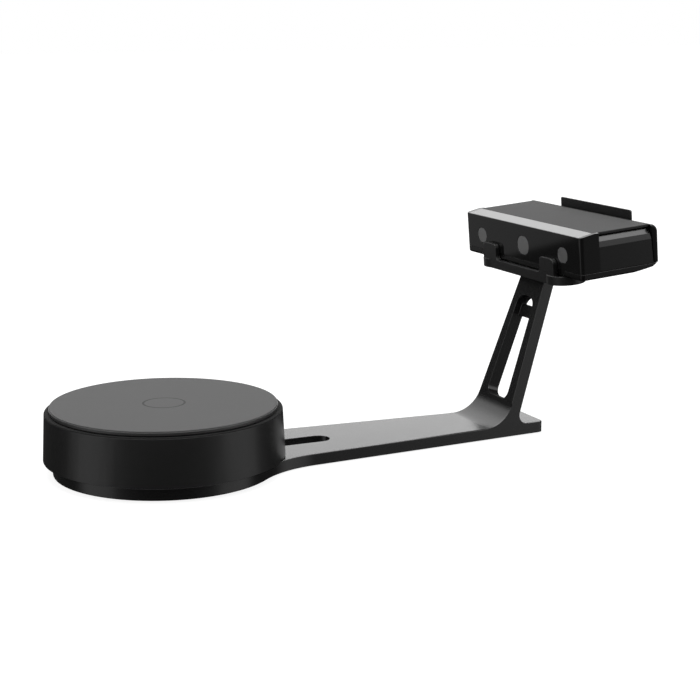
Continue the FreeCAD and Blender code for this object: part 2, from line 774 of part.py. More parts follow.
def housing_screws():
    """Four screws that hold the tray in the housing."""
    body = new_body("housing_screws")
    round_pins(body, "XY_Plane", "plate_top + drum_gap", POSTS, "small_head_radius",
               "small_head_thick")
    round_pins(body, "XY_Plane", "plate_top + drum_gap + small_head_thick", POSTS,
               "small_screw_radius",
               "tray_floor + screw_bite - plate_top - drum_gap - small_head_thick")


def bearing(name, bottom):
    """One sealed ball bearing of the platter's spindle."""
    body = new_body(name)
    rim, dish = "bearing_shoulder", "running_gap * 8"
    low, high = bottom, f"{bottom} + bearing_height"
    section = sketch_on(body, "XZ_Plane")
    outline(section, [
        ("spindle_radius + running_gap", low), (f"spindle_radius + {rim}", low),
        (f"spindle_radius + {rim}", f"{low} + {dish}"),
        (f"bearing_radius - {rim}", f"{low} + {dish}"),
        (f"bearing_radius - {rim}", low), ("bearing_radius", low), ("bearing_radius", high),
        (f"bearing_radius - {rim}", high), (f"bearing_radius - {rim}", f"{high} - {dish}"),
        (f"spindle_radius + {rim}", f"{high} - {dish}"), (f"spindle_radius + {rim}", high),
        ("spindle_radius + running_gap", high)])
    revolve(body, section)


def platter_spindle():
    """Shaft and flange that carry the platter."""
    body = new_body("platter_spindle")
    section = sketch_on(body, "XZ_Plane")
    outline(section, [("0", "lower_bearing"), ("spindle_radius", "lower_bearing"),
                      ("spindle_radius", "flange_under"), ("flange_radius", "flange_under"),
                      ("flange_radius", "platter_under"), ("0", "platter_under")])
    revolve(body, section)
    round_holes(body, "XY_Plane", "platter_under", PLATTER_SCREWS,
                "small_screw_radius + screw_gap", "flange_height - 1")


def platter():
    """Turning plate that carries the object to be scanned."""
    body = new_body("platter")
    section = sketch_on(body, "XZ_Plane")
    outline(section, [("0", "platter_under"),
                      ("platter_radius - drum_edge / 2", "platter_under"),
                      ("platter_radius", "platter_under + drum_edge / 2"),
                      ("platter_radius", "platter_top"), ("0", "platter_top")])
    revolve(body, section)
    round_holes(body, "XY_Plane", "platter_top", PLATTER_SCREWS,
                "small_screw_radius + screw_gap", "2 * platter_thick")
    round_holes(body, "XY_Plane", "platter_top", PLATTER_SCREWS,
                "small_head_radius + screw_gap", "small_head_thick")


def platter_screws():
    """Three screws that hold the platter on its flange, under the mat."""
    body = new_body("platter_screws")
    under = "platter_top - small_head_thick"
    round_pins(body, "XY_Plane", under, PLATTER_SCREWS, "small_head_radius",
               "small_head_thick")
    round_pins(body, "XY_Plane", "platter_under - flange_height / 2", PLATTER_SCREWS,
               "small_screw_radius", f"{under} - platter_under + flange_height / 2")


def platter_mat():
    """Grip mat on the platter, with a fine ring that marks its centre."""
    body = new_body("platter_mat")
    rim, top = "platter_radius - mat_inset", "platter_top + mat_thick"
    groove = "platter_top + mat_thick - mark_depth"
    section = sketch_on(body, "XZ_Plane")
    outline(section, [
        ("0", "platter_top"), (rim, "platter_top"), (rim, f"{top} - mat_inset"),
        (f"{rim} - mat_inset", top), ("mark_radius + mark_width / 2", top),
        ("mark_radius + mark_width / 2", groove), ("mark_radius - mark_width / 2", groove),
        ("mark_radius - mark_width / 2", top), ("0", top)])
    revolve(body, section)


def tooth_flank(teeth):
    """One flank of an involute tooth: (radius, half angle of the tooth there), root to tip."""
    module, slope = number("gear_module"), math.radians(number("pressure_angle"))
    pitch = module * teeth / 2
    base = pitch * math.cos(slope)
    half_at_pitch = (math.pi * module / 2 - number("backlash")) / (2 * pitch)
    flank = []
    for radius in (pitch - 1.25 * module, pitch - 0.5 * module, pitch, pitch + 0.5 * module,
                   pitch + module):
        spread = math.acos(min(1.0, base / radius))
        roll = math.tan(spread) - spread - (math.tan(slope) - slope)
        flank.append((radius, half_at_pitch - roll))
    return flank


def toothed_wheel(name, teeth, centre_x, first_angle, bore, bottom, thick):
    """A spur gear, its teeth drawn from their flanks and its bore cut through."""
    flank = tooth_flank(teeth)
    points = []
    for i in range(teeth):
        angle = first_angle + 2 * math.pi * i / teeth
        sides = [(r, angle - half) for r, half in flank]
        sides += [(r, angle + half) for r, half in reversed(flank)]
        points += [Vector(centre_x + r * math.cos(a), r * math.sin(a), bottom) for r, a in sides]
    wheel = Part.Face(Part.makePolygon(points + points[:1])).extrude(Vector(0, 0, thick))
    hole = Part.makeCylinder(bore, thick, Vector(centre_x, 0, bottom))
    made = doc.addObject("Part::Feature", name)
    made.Label = name
    made.Shape = wheel.cut(hole)
    subparts.append(made)
    return made


def drive_gear():
    """Large gear under the platter's flange, dished and with four lightening holes."""
    bottom, thick = number("gear_under"), number("gear_thick")
    gear = toothed_wheel("drive_gear", int(number("gear_teeth")), 0, 0,
                         number("spindle_radius + running_gap"), bottom, thick)
    inner = number("gear_module * gear_teeth / 2 - gear_rim")
    hub = number("flange_radius")
    dish = Part.makeCylinder(inner, thick).cut(Part.makeCylinder(hub, thick))
    dish.translate(Vector(0, 0, bottom + number("gear_web")))
    shape = gear.Shape.cut(dish)
    for i in range(4):
        angle = math.pi / 4 + i * math.pi / 2
        reach = number("gear_hole_circle")
        spot = Vector(reach * math.cos(angle), reach * math.sin(angle), bottom)
        shape = shape.cut(Part.makeCylinder(number("gear_hole_radius"), thick, spot))
    gear.Shape = shape


def drive_pinion():
    """Small gear on the motor's shaft, in mesh with the drive gear."""
    teeth = int(number("pinion_teeth"))
    toothed_wheel("drive_pinion", teeth, -number("motor_place"), math.pi / teeth,
                  number("motor_shaft_radius + running_gap"), number("gear_under"),
                  number("gear_thick"))


def stepper_motor():
    """Flat square stepper motor, hung under its bracket."""
    body = new_body("stepper_motor")
    low = "motor_face - motor_height"
    sketch = sketch_on(body, "XY_Plane", low)
    rectangle(sketch, "-motor_place - motor_width / 2", "-motor_place + motor_width / 2",
              "-motor_width / 2", "motor_width / 2", "motor_corner")
    pad(body, sketch, "motor_height")
    centre = [("-motor_place", "0")]
    round_pins(body, "XY_Plane", "motor_face", centre, "motor_pilot_radius",
               "motor_pilot_height")
    round_holes(body, "XY_Plane", "motor_face + motor_pilot_height", centre,
                "motor_shaft_radius + running_gap", "motor_pilot_height + motor_shaft_depth + 1")
    round_holes(body, "XY_Plane", "motor_face", MOTOR_SCREWS, "small_screw_radius + screw_gap",
                "motor_corner + 1")


def motor_shaft():
    """Shaft of the motor, turning with the pinion."""
    body = new_body("motor_shaft")
    round_pins(body, "XY_Plane", "motor_face - motor_shaft_depth", [("-motor_place", "0")],
               "motor_shaft_radius", "motor_shaft_depth + gear_under + gear_thick - motor_face")


def motor_bracket():
    """Bent sheet bridge over the motor, standing on the tray with two feet."""
    body = new_body("motor_bracket")
    sketch = sketch_on(body, "YZ_Plane", "-motor_place")
    out, inside = "bracket_half", "(bracket_half - bracket_sheet)"
    top, foot = "(motor_face + bracket_sheet)", "(tray_floor + bracket_sheet)"
    far = "(bracket_half + bracket_foot)"
    outline(sketch, [
        (f"-{far}", "tray_floor"), (f"-{inside}", "tray_floor"), (f"-{inside}", "motor_face"),
        (inside, "motor_face"), (inside, "tray_floor"), (far, "tray_floor"), (far, foot),
        (out, foot), (out, top), (f"-{out}", top), (f"-{out}", foot), (f"-{far}", foot)])
    pad(body, sketch, "motor_width", SideType="Symmetric")
    round_holes(body, "XY_Plane", top, [("-motor_place", "0")], "motor_pilot_radius + screw_gap",
                "2 * bracket_sheet")
    round_holes(body, "XY_Plane", top, MOTOR_SCREWS, "small_screw_radius + screw_gap",
                "2 * bracket_sheet")
    round_holes(body, "XY_Plane", top, MOTOR_SCREWS, "small_head_radius + screw_gap",
                "bracket_sheet / 2")


def motor_screws():
    """Four flush screws that hold the motor under its bracket."""
    body = new_body("motor_screws")
    top = "motor_face + bracket_sheet"
    round_pins(body, "XY_Plane", f"{top} - bracket_sheet / 2", MOTOR_SCREWS,
               "small_head_radius", "bracket_sheet / 2")
    round_pins(body, "XY_Plane", "motor_face - motor_corner", MOTOR_SCREWS,
               "small_screw_radius", "motor_corner + bracket_sheet / 2")


def turntable_board():
    """Circuit board that drives the motor, on four posts of the tray."""
    body = new_body("turntable_board")
    sketch = sketch_on(body, "XY_Plane", "drum_pcb_under")
    rectangle(sketch, "-drum_pcb_width / 2", "drum_pcb_width / 2", "drum_pcb_start",
              "drum_pcb_start + drum_pcb_depth", "small_screw_radius")
    pad(body, sketch, "pcb_thick")
    round_holes(body, "XY_Plane", "drum_port_under", drum_board_holes(),
                "small_screw_radius + screw_gap", "2 * pcb_thick")


def turntable_board_screws():
    """Four screws of the turntable board."""
    body = new_body("turntable_board_screws")
    round_pins(body, "XY_Plane", "drum_port_under", drum_board_holes(), "small_head_radius",
               "small_head_thick")
    round_pins(body, "XY_Plane", "tray_floor + 1", drum_board_holes(), "small_screw_radius",
               "drum_pcb_height - 1 + pcb_thick")


def turntable_socket():
    """Round cable socket on the turntable board, reaching into the drum's window."""
    body = new_body("turntable_socket")
    sketch = sketch_on(body, "XY_Plane", "drum_port_under")
    rectangle(sketch, "-port_width / 2", "port_width / 2", "drum_port_face - port_depth",
              "drum_port_face")
    pad(body, sketch, "port_height")
    round_holes(body, "XZ_Plane", "-drum_port_face", [("0", "drum_port_centre")],
                "port_bore_radius", "port_bore_depth", Reversed=True)


# ------------------------------------------------------------------ cradle
def head_cradle():
    """Cradle on the column: floor with round ears, front lip with two prongs, rear plate."""
    body = new_body("head_cradle", in_head=True)
    beam_end = "(lip_front + cradle_beam)"
    beam = sketch_on(body, "XY_Plane", "floor_under")
    rectangle(beam, "lip_front", beam_end, "-cradle_half", "cradle_half")
    pad(body, beam, "cradle_thick")
    ears = [("lip_front + ear_reach", side + "ear_centre") for side in SIDES]
    round_pins(body, "XY_Plane", "floor_under", ears, "ear_radius", "cradle_thick")
    floor = sketch_on(body, "XY_Plane", "-(seat_gap + cradle_floor)")
    rectangle(floor, f"{beam_end} - 1", "rear_plate_back", "-rear_plate_half",
              "rear_plate_half")
    pad(body, floor, "cradle_floor")
    lip = sketch_on(body, "YZ_Plane", "lip_front")
    outline(lip, [
        ("-cradle_half", "floor_under"), ("cradle_half", "floor_under"),
        ("cradle_half", "prong_height", "prong_outer_round"),
        ("prong_inner", "prong_height", "prong_inner_round"),
        ("prong_inner", "lip_height", "prong_inner_round"),
        ("-prong_inner", "lip_height", "prong_inner_round"),
        ("-prong_inner", "prong_height", "prong_inner_round"),
        ("-cradle_half", "prong_height", "prong_outer_round")])
    pad(body, lip, "lip_thick")
    rear = sketch_on(body, "YZ_Plane", "rear_plate_front")
    over = "(head_top + rear_plate_over)"
    outline(rear, [
        ("-rear_plate_half", "-(seat_gap + cradle_floor)"),
        ("rear_plate_half", "-(seat_gap + cradle_floor)"),
        ("rear_plate_half", over, "rear_plate_round"),
        ("-rear_plate_half", over, "rear_plate_round")])
    pad(body, rear, "rear_plate_thick")
    window = sketch_on(body, "YZ_Plane", "rear_plate_back")
    rectangle(window, "-rear_window_half", "rear_window_half", "rear_window_bottom",
              "rear_window_top", "rear_window_round")
    pocket(body, window, "2 * rear_plate_thick - cradle_gap")
    round_holes(body, "XY_Plane", "0", [("tripod_place", "0")], "access_hole_radius",
                "2 * cradle_thick")
    round_holes(body, "XY_Plane", "0", CRADLE_SCREWS, "cradle_screw_radius + screw_gap",
                "2 * cradle_thick")
    round_holes(body, "XY_Plane", "0", CRADLE_SCREWS, "cradle_head_radius + screw_gap",
                "seat_gap + cradle_head_thick")


def cradle_screws():
    """Two screws that hold the cradle on the column."""
    body = new_body("cradle_screws", in_head=True)
    round_pins(body, "XY_Plane", "-(seat_gap + cradle_head_thick)", CRADLE_SCREWS,
               "cradle_head_radius", "cradle_head_thick")
    round_pins(body, "XY_Plane", "floor_under - cradle_screw_bite", CRADLE_SCREWS,
               "cradle_screw_radius",
               "cradle_screw_bite - floor_under - seat_gap - cradle_head_thick")


# ------------------------------------------------------------------ scan head covers
def cut_rising_underside(body):
    """Cuts the head's underside where it rises to the back, then turns up to the back face."""
    wedge = sketch_on(body, "XZ_Plane")
    outline(wedge, [
        ("rise_start", "0"), ("head_depth - rear_slope", "shell_rise"),
        ("head_depth", "rear_edge"), ("head_depth + 1", "rear_edge"),
        ("head_depth + 1", "-1"), ("rise_start", "-1")])
    pocket(body, wedge, "head_width + 2", SideType="Symmetric")


def lower_shell():
    """Bottom tray of the head, with bench posts, board ribs and the tripod boss."""
    body = new_body("lower_shell", in_head=True)
    plan = sketch_on(body, "XY_Plane")
    rectangle(plan, "0", "shell_back", "-head_half", "head_half")
    pad(body, plan, "seam_height")
    round_edges(body, "mask_corner", lambda e: along(e, Z_AXIS) and near(middle(e).x, "0"))
    round_edges(body, "shell_round", lambda e: near(middle(e).z, "0"))
    cut_rising_underside(body)
    for floor, start, end in (("shell_floor", "mask_wall", "rise_start + cover_wall"),
                              ("rise_floor", "rise_start", "head_depth - rear_slope - 1")):
        room = sketch_on(body, "XY_Plane", "seam_height")
        rectangle(room, start, end, "-wall_inside", "wall_inside", "shell_round")
        pocket(body, room, f"seam_height - {floor}")
    round_pins(body, "XY_Plane", "shell_floor - 1", BENCH_SCREWS, "bench_post_radius",
               "bench_lift + 1")
    round_pins(body, "XY_Plane", "shell_floor - 1", [("tripod_place", "0")],
               "insert_radius + insert_gap + insert_wall", "tripod_depth - shell_floor + 1")
    ribs = sketch_on(body, "XY_Plane", "rise_floor - 1")
    for low in ("board_left + 2", "board_right - 2 - board_rib_width"):
        rectangle(ribs, "board_front - board_rib_thick", "board_front", low,
                  f"{low} + board_rib_width")
    pad(body, ribs, "board_high - rise_floor + 1")
    round_holes(body, "XY_Plane", "0", BENCH_SCREWS, "small_head_radius + screw_gap",
                "small_head_thick + screw_sink", Reversed=True)
    round_holes(body, "XY_Plane", "0", BENCH_SCREWS, "small_screw_radius + screw_gap",
                "2 * bench_under", Reversed=True)
    round_holes(body, "XY_Plane", "0", [("tripod_place", "0")], "insert_radius + insert_gap",
                "2 * tripod_depth", Reversed=True)


def tripod_insert():
    """Threaded brass insert in the head's underside."""
    body = new_body("tripod_insert", in_head=True)
    sketch = sketch_on(body, "XY_Plane")
    circle(sketch, "tripod_place", "0", "insert_radius")
    circle(sketch, "tripod_place", "0", "tripod_radius")
    pad(body, sketch, "tripod_depth")


def head_screws():
    """Four screws from below that hold the optical bench in the lower shell."""
    body = new_body("head_screws", in_head=True)
    round_pins(body, "XY_Plane", "screw_sink", BENCH_SCREWS, "small_head_radius",
               "small_head_thick")
    round_pins(body, "XY_Plane", "screw_sink + small_head_thick", BENCH_SCREWS,
               "small_screw_radius", "bench_top - screw_sink - small_head_thick")


def window_outline(sketch, kind, across, grow):
    """Oval of a camera's or the projector's window, grown or shrunk all round."""
    width, high = f"({kind}_window_width / 2 + {grow})", f"({kind}_window_high / 2 + {grow})"
    rectangle(sketch, f"{across} - {width}", f"{across} + {width}", f"window_height - {high}",
              f"window_height + {high}", f"{high} - oval_flat")


def front_mask():
    """Glossy front of the head, with three stepped window holes and short side walls."""
    body = new_body("front_mask", in_head=True)
    inner = "mask_corner - cover_wall / 2"
    plan = sketch_on(body, "XY_Plane", "seam_top")
    outline(plan, [
        ("mask_depth", "-head_half"), ("mask_depth", "-wall_inside"),
        ("mask_wall", "-wall_inside", inner), ("mask_wall", "wall_inside", inner),
        ("mask_depth", "wall_inside"), ("mask_depth", "head_half"),
        ("0", "head_half", "mask_corner"), ("0", "-head_half", "mask_corner")])
    pad(body, plan, "head_top - seam_top")
    border = sketch_on(body, "XY_Plane", "cover_under - cover_thick")
    for low, high in (("trim_half", "wall_inside + 1"), ("-wall_inside - 1", "-trim_half")):
        rectangle(border, "mask_wall - 1", "mask_depth", low, high)
    pad(body, border, "2 * cover_thick")
    slope = "(bevel_rise / bevel_depth)"
    seat = f"face_height + trim_seat * {slope} - cover_thick"
    high = "head_top + 1"
    cuts = (
        ("head_half + 1", [("-1", f"face_height - {slope}"), ("bevel_depth", "head_top"),
                           ("bevel_depth", high), ("-1", high)]),
        ("trim_half + running_gap", [("trim_seat", seat), ("bevel_depth", "cover_under"),
                                     ("bevel_depth", high), ("trim_seat", high)]),
        ("lid_half + seam_gap", [("bevel_depth", "cover_under"), ("mask_depth + 1", "cover_under"),
                                 ("mask_depth + 1", high), ("bevel_depth", high)]))
    for half, corners in cuts:
        over = sketch_on(body, "XZ_Plane")
        outline(over, corners)
        pocket(body, over, f"2 * ({half})", SideType="Symmetric")
    for grow, depth in (("window_gap", "window_recess + window_thick"),
                        ("(-window_ledge)", "2 * mask_wall")):
        holes = sketch_on(body, "YZ_Plane")
        for kind, across in WINDOWS.values():
            window_outline(holes, kind, across, grow)
        pocket(body, holes, depth, Reversed=True)


def window_pane(name):
    """A clear oval pane, let into the mask."""
    body = new_body(name, in_head=True)
    sketch = sketch_on(body, "YZ_Plane", "window_recess")
    window_outline(sketch, *WINDOWS[name], "0")
    pad(body, sketch, "window_thick")


def bevel_trim():
    """Bright strip that slopes from the front face up to the top cover."""
    body = new_body("bevel_trim", in_head=True)
    slope = "(bevel_rise / bevel_depth)"
    start = "(trim_seat + running_gap)"
    side = sketch_on(body, "XZ_Plane")
    outline(side, [
        (start, f"face_height + {start} * {slope} - cover_thick"),
        ("bevel_depth", "cover_under"), ("bevel_depth", "head_top"),
        (start, f"face_height + {start} * {slope}")])
    pad(body, side, "2 * trim_half", SideType="Symmetric")
    round_edges(body, "trim_seat", lambda e: along(e, Z_AXIS) and near(middle(e).x, start))


def top_cover():
    """Flat lid of the head, with a low skirt and a lip along both sides."""
    body = new_body("top_cover", in_head=True)
    front = sketch_on(body, "YZ_Plane", "bevel_depth + seam_gap")
    skirt, lip = "(head_top - skirt_height)", "(cover_under - lid_lip)"
    inner, edge = "(lid_lip_out - lid_lip_thick)", "(lid_half - cover_wall)"
    outline(front, [
        ("-lid_half", skirt), (f"-{edge}", skirt), (f"-{edge}", "cover_under"),
        ("-lid_lip_out", "cover_under"), ("-lid_lip_out", lip), (f"-{inner}", lip),
        (f"-{inner}", "cover_under"), (inner, "cover_under"), (inner, lip),
        ("lid_lip_out", lip), ("lid_lip_out", "cover_under"), (edge, "cover_under"),
        (edge, skirt), ("lid_half", skirt), ("lid_half", "head_top"),
        ("-lid_half", "head_top")])
    pad(body, front, "cover_end - bevel_depth - seam_gap")
    over_mask = sketch_on(body, "XY_Plane", "cover_under")
    rectangle(over_mask, "bevel_depth", "mask_depth + seam_gap", "-head_half - 1",
              "head_half + 1")
    pocket(body, over_mask, "skirt_height + lid_lip")
    round_edges(body, "drum_edge", lambda e: along(e, X_AXIS) and near(middle(e).z, "head_top"))


def side_panel(name, side):
    """Side cover of the head: upright, then leaning in, then crowned under the lid's skirt."""
    body = new_body(name, in_head=True)
    face = "(head_half - side_inset)"
    top = "(head_top - skirt_height - lid_gap)"
    section = [
        ("seam_top", "0"), ("side_slope_start", "0"), ("side_crown_start", "side_slope_in"),
        (top, "side_crown_in"), (top, "side_crown_in + cover_wall"),
        ("side_crown_start", "side_slope_in + 1.2 * cover_wall"),
        ("side_slope_start", "cover_wall"), ("seam_top", "cover_wall")]
    front = sketch_on(body, "YZ_Plane", "mask_depth + seam_gap")
    outline(front, [(f"{side}({face} - ({inset}))", height) for height, inset in section])
    pad(body, front, "cover_end + cap_lean - mask_depth - seam_gap")
    rear = sketch_on(body, "XZ_Plane")
    outline(rear, [
        ("cover_end", "head_top"), ("cover_end + cap_lean", "0"),
        ("cover_end + 2 * cap_lean", "0"), ("cover_end + 2 * cap_lean", "head_top")])
    pocket(body, rear, "head_width", SideType="Symmetric")


def rear_cap():
    """Back cover of the head, with port windows, the button's hole and fan vents."""
    body = new_body("rear_cap", in_head=True)
    side = sketch_on(body, "XZ_Plane")
    outline(side, [
        ("cap_start + cap_lean * (1 - seam_top / head_top)", "seam_top"),
        ("cap_start", "head_top"), ("head_depth", "head_top", "rear_round"),
        ("head_depth", "seam_top")])
    pad(body, side, "head_width", SideType="Symmetric")
    round_edges(body, "rear_corner", lambda e: along(e, Z_AXIS)
                and near(middle(e).x, "head_depth"))
    cut_rising_underside(body)
    room = sketch_on(body, "XZ_Plane")
    outline(room, [
        ("cap_start - 1", "seam_top - 1"), ("cap_start - 1", "head_top - cover_wall"),
        ("cap_inside", "head_top - cover_wall", "rear_round - cover_wall"),
        ("cap_inside", "seam_top + cover_wall"), ("cap_inside - cover_wall", "seam_top"),
        ("cap_inside - cover_wall", "seam_top - 1")])
    pocket(body, room, "2 * wall_inside", SideType="Symmetric")
    holes = sketch_on(body, "YZ_Plane", "head_depth")
    gap = "port_window_gap"
    for across, wide, high in (("0", "usb_width", "usb_height"),
                               ("socket_pitch", "jack_width", "jack_height"),
                               ("-socket_pitch", "port_width", "port_height")):
        rectangle(holes, f"{across} - {wide} / 2 - {gap}", f"{across} + {wide} / 2 + {gap}",
                  f"window_height - {high} / 2 - {gap}", f"window_height + {high} / 2 + {gap}")
    circle(holes, "2 * socket_pitch", "window_height", "button_radius + button_gap")
    for i in range(-2, 3):
        rectangle(holes, f"-fan_side + {i} * vent_pitch - vent_width / 2",
                  f"-fan_side + {i} * vent_pitch + vent_width / 2",
                  "fan_centre - vent_height / 2", "fan_centre + vent_height / 2")
    pocket(body, holes, "2 * cover_wall")


# ------------------------------------------------------------------ inside the head
def optical_bench():
    """Stiff metal plate that holds the cameras and the projector in line."""
    body = new_body("optical_bench", in_head=True)
    plate = sketch_on(body, "XY_Plane", "bench_under")
    rectangle(plate, "bench_start", "bench_end", "-bench_half", "bench_half", "bench_post_radius")
    circle(plate, "tripod_place", "0", "insert_radius + insert_wall + 1")
    pad(body, plate, "bench_thick")
    round_holes(body, "XY_Plane", "bench_top", BENCH_SCREWS, "small_screw_radius + screw_gap",
                "2 * bench_thick")


def camera_module(name, side):
    """Camera body on the bench, behind its window."""
    body = new_body(name, in_head=True)
    centre = f"{side}camera_pitch / 2"
    box = sketch_on(body, "YZ_Plane", "camera_front")
    rectangle(box, f"{centre} - camera_width / 2", f"{centre} + camera_width / 2",
              "bench_top", "window_height + camera_half")
    pad(body, box, "camera_depth")


def lens_barrel(name, across, radius, length):
    """Stepped lens barrel with a dished front."""
    body = new_body(name, in_head=True)
    place = [(across, "window_height")]
    round_pins(body, "YZ_Plane", "lens_front", place, radius, length)
    round_pins(body, "YZ_Plane", f"lens_front + {length} / 2", place, f"{radius} + 1",
               f"{length} / 2")
    round_holes(body, "YZ_Plane", "lens_front", place, f"0.75 * {radius}", f"{length} / 6",
                Reversed=True)


def projector_module():
    """Light engine of the pattern projector, on the bench."""
    body = new_body("projector_module", in_head=True)
    box = sketch_on(body, "XY_Plane", "bench_top")
    rectangle(box, "projector_front", "projector_front + projector_depth",
              "projector_offset - projector_width / 2", "projector_side", "drum_edge")
    pad(body, box, "projector_height")


def heat_sink():
    """Finned heat sink against the projector's side."""
    body = new_body("heat_sink", in_head=True)
    start = "(projector_front + projector_depth / 2 - sink_depth / 2)"
    base = sketch_on(body, "XY_Plane", "bench_top")
    rectangle(base, start, f"{start} + sink_depth", "projector_side",
              "projector_side + sink_base")
    pad(body, base, "sink_height")
    fins = sketch_on(body, "XY_Plane", "bench_top")
    pitch = "((sink_depth - fin_thick) / (fin_count - 1))"
    for i in range(int(number("fin_count"))):
        rectangle(fins, f"{start} + {i} * {pitch}", f"{start} + {i} * {pitch} + fin_thick",
                  "projector_side + sink_base - 1", "projector_side + sink_reach")
    pad(body, fins, "sink_height")


def main_board():
    """Upright circuit board that carries the sockets and the switch."""
    body = new_body("main_board", in_head=True)
    sketch = sketch_on(body, "YZ_Plane", "board_front")
    rectangle(sketch, "board_left", "board_right", "board_low", "board_high",
              "small_screw_radius")
    pad(body, sketch, "pcb_thick")


def socket_block(name, across, wide, high):
    """Block of a socket, from the board to the back face of the head."""
    body = new_body(name, in_head=True)
    sketch = sketch_on(body, "YZ_Plane", "board_back")
    rectangle(sketch, f"{across} - {wide} / 2", f"{across} + {wide} / 2",
              f"window_height - {high} / 2", f"window_height + {high} / 2")
    pad(body, sketch, "head_depth - board_back")
    return body


def usb_socket():
    """Square data socket with its tongue."""
    body = socket_block("usb_socket", "0", "usb_width", "usb_height")
    mouth = sketch_on(body, "YZ_Plane", "head_depth")
    for wide, high in (("usb_mouth_width", "usb_mouth_height"),
                       ("usb_tongue_width", "usb_tongue_height")):
        rectangle(mouth, f"-{wide} / 2", f"{wide} / 2", f"window_height - {high} / 2",
                  f"window_height + {high} / 2")
    pocket(body, mouth, "socket_depth")


def power_inlet():
    """Round power socket with its centre pin."""
    body = socket_block("power_inlet", "socket_pitch", "jack_width", "jack_height")
    mouth = sketch_on(body, "YZ_Plane", "head_depth")
    for radius in ("jack_bore_radius", "jack_pin_radius"):
        circle(mouth, "socket_pitch", "window_height", radius)
    pocket(body, mouth, "socket_depth")


def turntable_port():
    """Round socket for the turntable's cable."""
    body = socket_block("turntable_port", "-socket_pitch", "port_width", "port_height")
    round_holes(body, "YZ_Plane", "head_depth", [("-socket_pitch", "window_height")],
                "port_bore_radius", "port_bore_depth")


def power_switch():
    """Push switch on the board, behind the button."""
    body = new_body("power_switch", in_head=True)
    sketch = sketch_on(body, "YZ_Plane", "board_back")
    rectangle(sketch, "2 * socket_pitch - switch_width / 2", "2 * socket_pitch + switch_width / 2",
              "window_height - switch_width / 2", "window_height + switch_width / 2")
    pad(body, sketch, "switch_end - board_back")


def power_button():
    """Round button in the rear cap, kept in by its flange."""
    body = new_body("power_button", in_head=True)
    place = [("2 * socket_pitch", "window_height")]
    flange_back = "(cap_inside - seam_gap)"
    round_pins(body, "YZ_Plane", f"{flange_back} - button_flange_thick", place,
               "button_radius + button_flange", "button_flange_thick")
    round_pins(body, "YZ_Plane", flange_back, place, "button_radius",
               f"head_depth + button_proud - {flange_back}")
    round_edges(body, "button_edge", lambda e: near(middle(e).x, "head_depth + button_proud"))


def fan_frame():
    """Square fan housing on the rear cap, with a pin held by three struts."""
    body = new_body("fan_frame", in_head=True)
    centre = [("-fan_side", "fan_centre")]
    frame = sketch_on(body, "YZ_Plane", "fan_front")
    rectangle(frame, "-fan_side - fan_size / 2", "-fan_side + fan_size / 2",
              "fan_centre - fan_size / 2", "fan_centre + fan_size / 2", "fan_strut")
    circle(frame, "-fan_side", "fan_centre", "fan_tube_radius")
    pad(body, frame, "fan_thick")
    round_pins(body, "YZ_Plane", "fan_front", centre, "fan_hub_radius", "fan_strut_thick")
    struts = sketch_on(body, "YZ_Plane", "fan_front")
    rectangle(struts, "-fan_side - fan_tube_radius - 1", "-fan_side + fan_tube_radius + 1",
              "fan_centre - fan_strut / 2", "fan_centre + fan_strut / 2")
    pad(body, struts, "fan_strut_thick")
    upright = sketch_on(body, "YZ_Plane", "fan_front")
    rectangle(upright, "-fan_side - fan_strut / 2", "-fan_side + fan_strut / 2",
              "fan_centre", "fan_centre + fan_tube_radius + 1")
    pad(body, upright, "fan_strut_thick")
    round_pins(body, "YZ_Plane", "fan_front", centre, "fan_pin_radius", "fan_thick - 2")


def fan_rotor():
    """Hub of the fan with seven twisted blades."""
    body = new_body("fan_rotor", in_head=True)
    centre = [("-fan_side", "fan_centre")]
    depth = "(cap_inside - 0.6 - rotor_front)"
    round_pins(body, "YZ_Plane", "rotor_front", centre, "fan_hub_radius", depth)
    blade = body.newObject("PartDesign::AdditiveLoft", "fan_blade")
    sections = []
    for height, slant in (("rotor_front + 0.3", -1), (f"rotor_front + {depth} - 0.3", 1)):
        section = sketch_on(body, "YZ_Plane", height)
        low, high = "0.8 * fan_hub_radius", "fan_tube_radius - fan_tip_gap"
        shift = f"({slant} * 0.22 * fan_hub_radius)"
        spread = f"({slant} * 0.22 * fan_tube_radius)"
        outline(section, [
            (f"-fan_side + {low}", f"fan_centre + {shift} - fan_blade / 2"),
            (f"-fan_side + {high} - 1", f"fan_centre + {spread} - fan_blade / 2"),
            (f"-fan_side + {high} - 1", f"fan_centre + {spread} + fan_blade / 2"),
            (f"-fan_side + {low}", f"fan_centre + {shift} + fan_blade / 2")])
        sections.append(section)
    blade.Profile = sections[0]
    blade.Sections = [(sections[1], [""])]
    blade.Ruled = True
    blades = body.newObject("PartDesign::PolarPattern", "fan_blades")
    blades.Originals = [blade]
    axis = sketch_on(body, "YZ_Plane", "rotor_front")
    axis.setExpression("AttachmentOffset.Base.x", link("-fan_side"))
    axis.setExpression("AttachmentOffset.Base.y", link("fan_centre"))
    blades.Axis = (axis, ["N_Axis"])
    blades.Angle = 360
    blades.Occurrences = 7
    body.Tip = blades
    round_holes(body, "YZ_Plane", "rotor_front", centre, "fan_pin_radius + running_gap",
                "fan_thick - 2 - fan_strut_thick", Reversed=True)


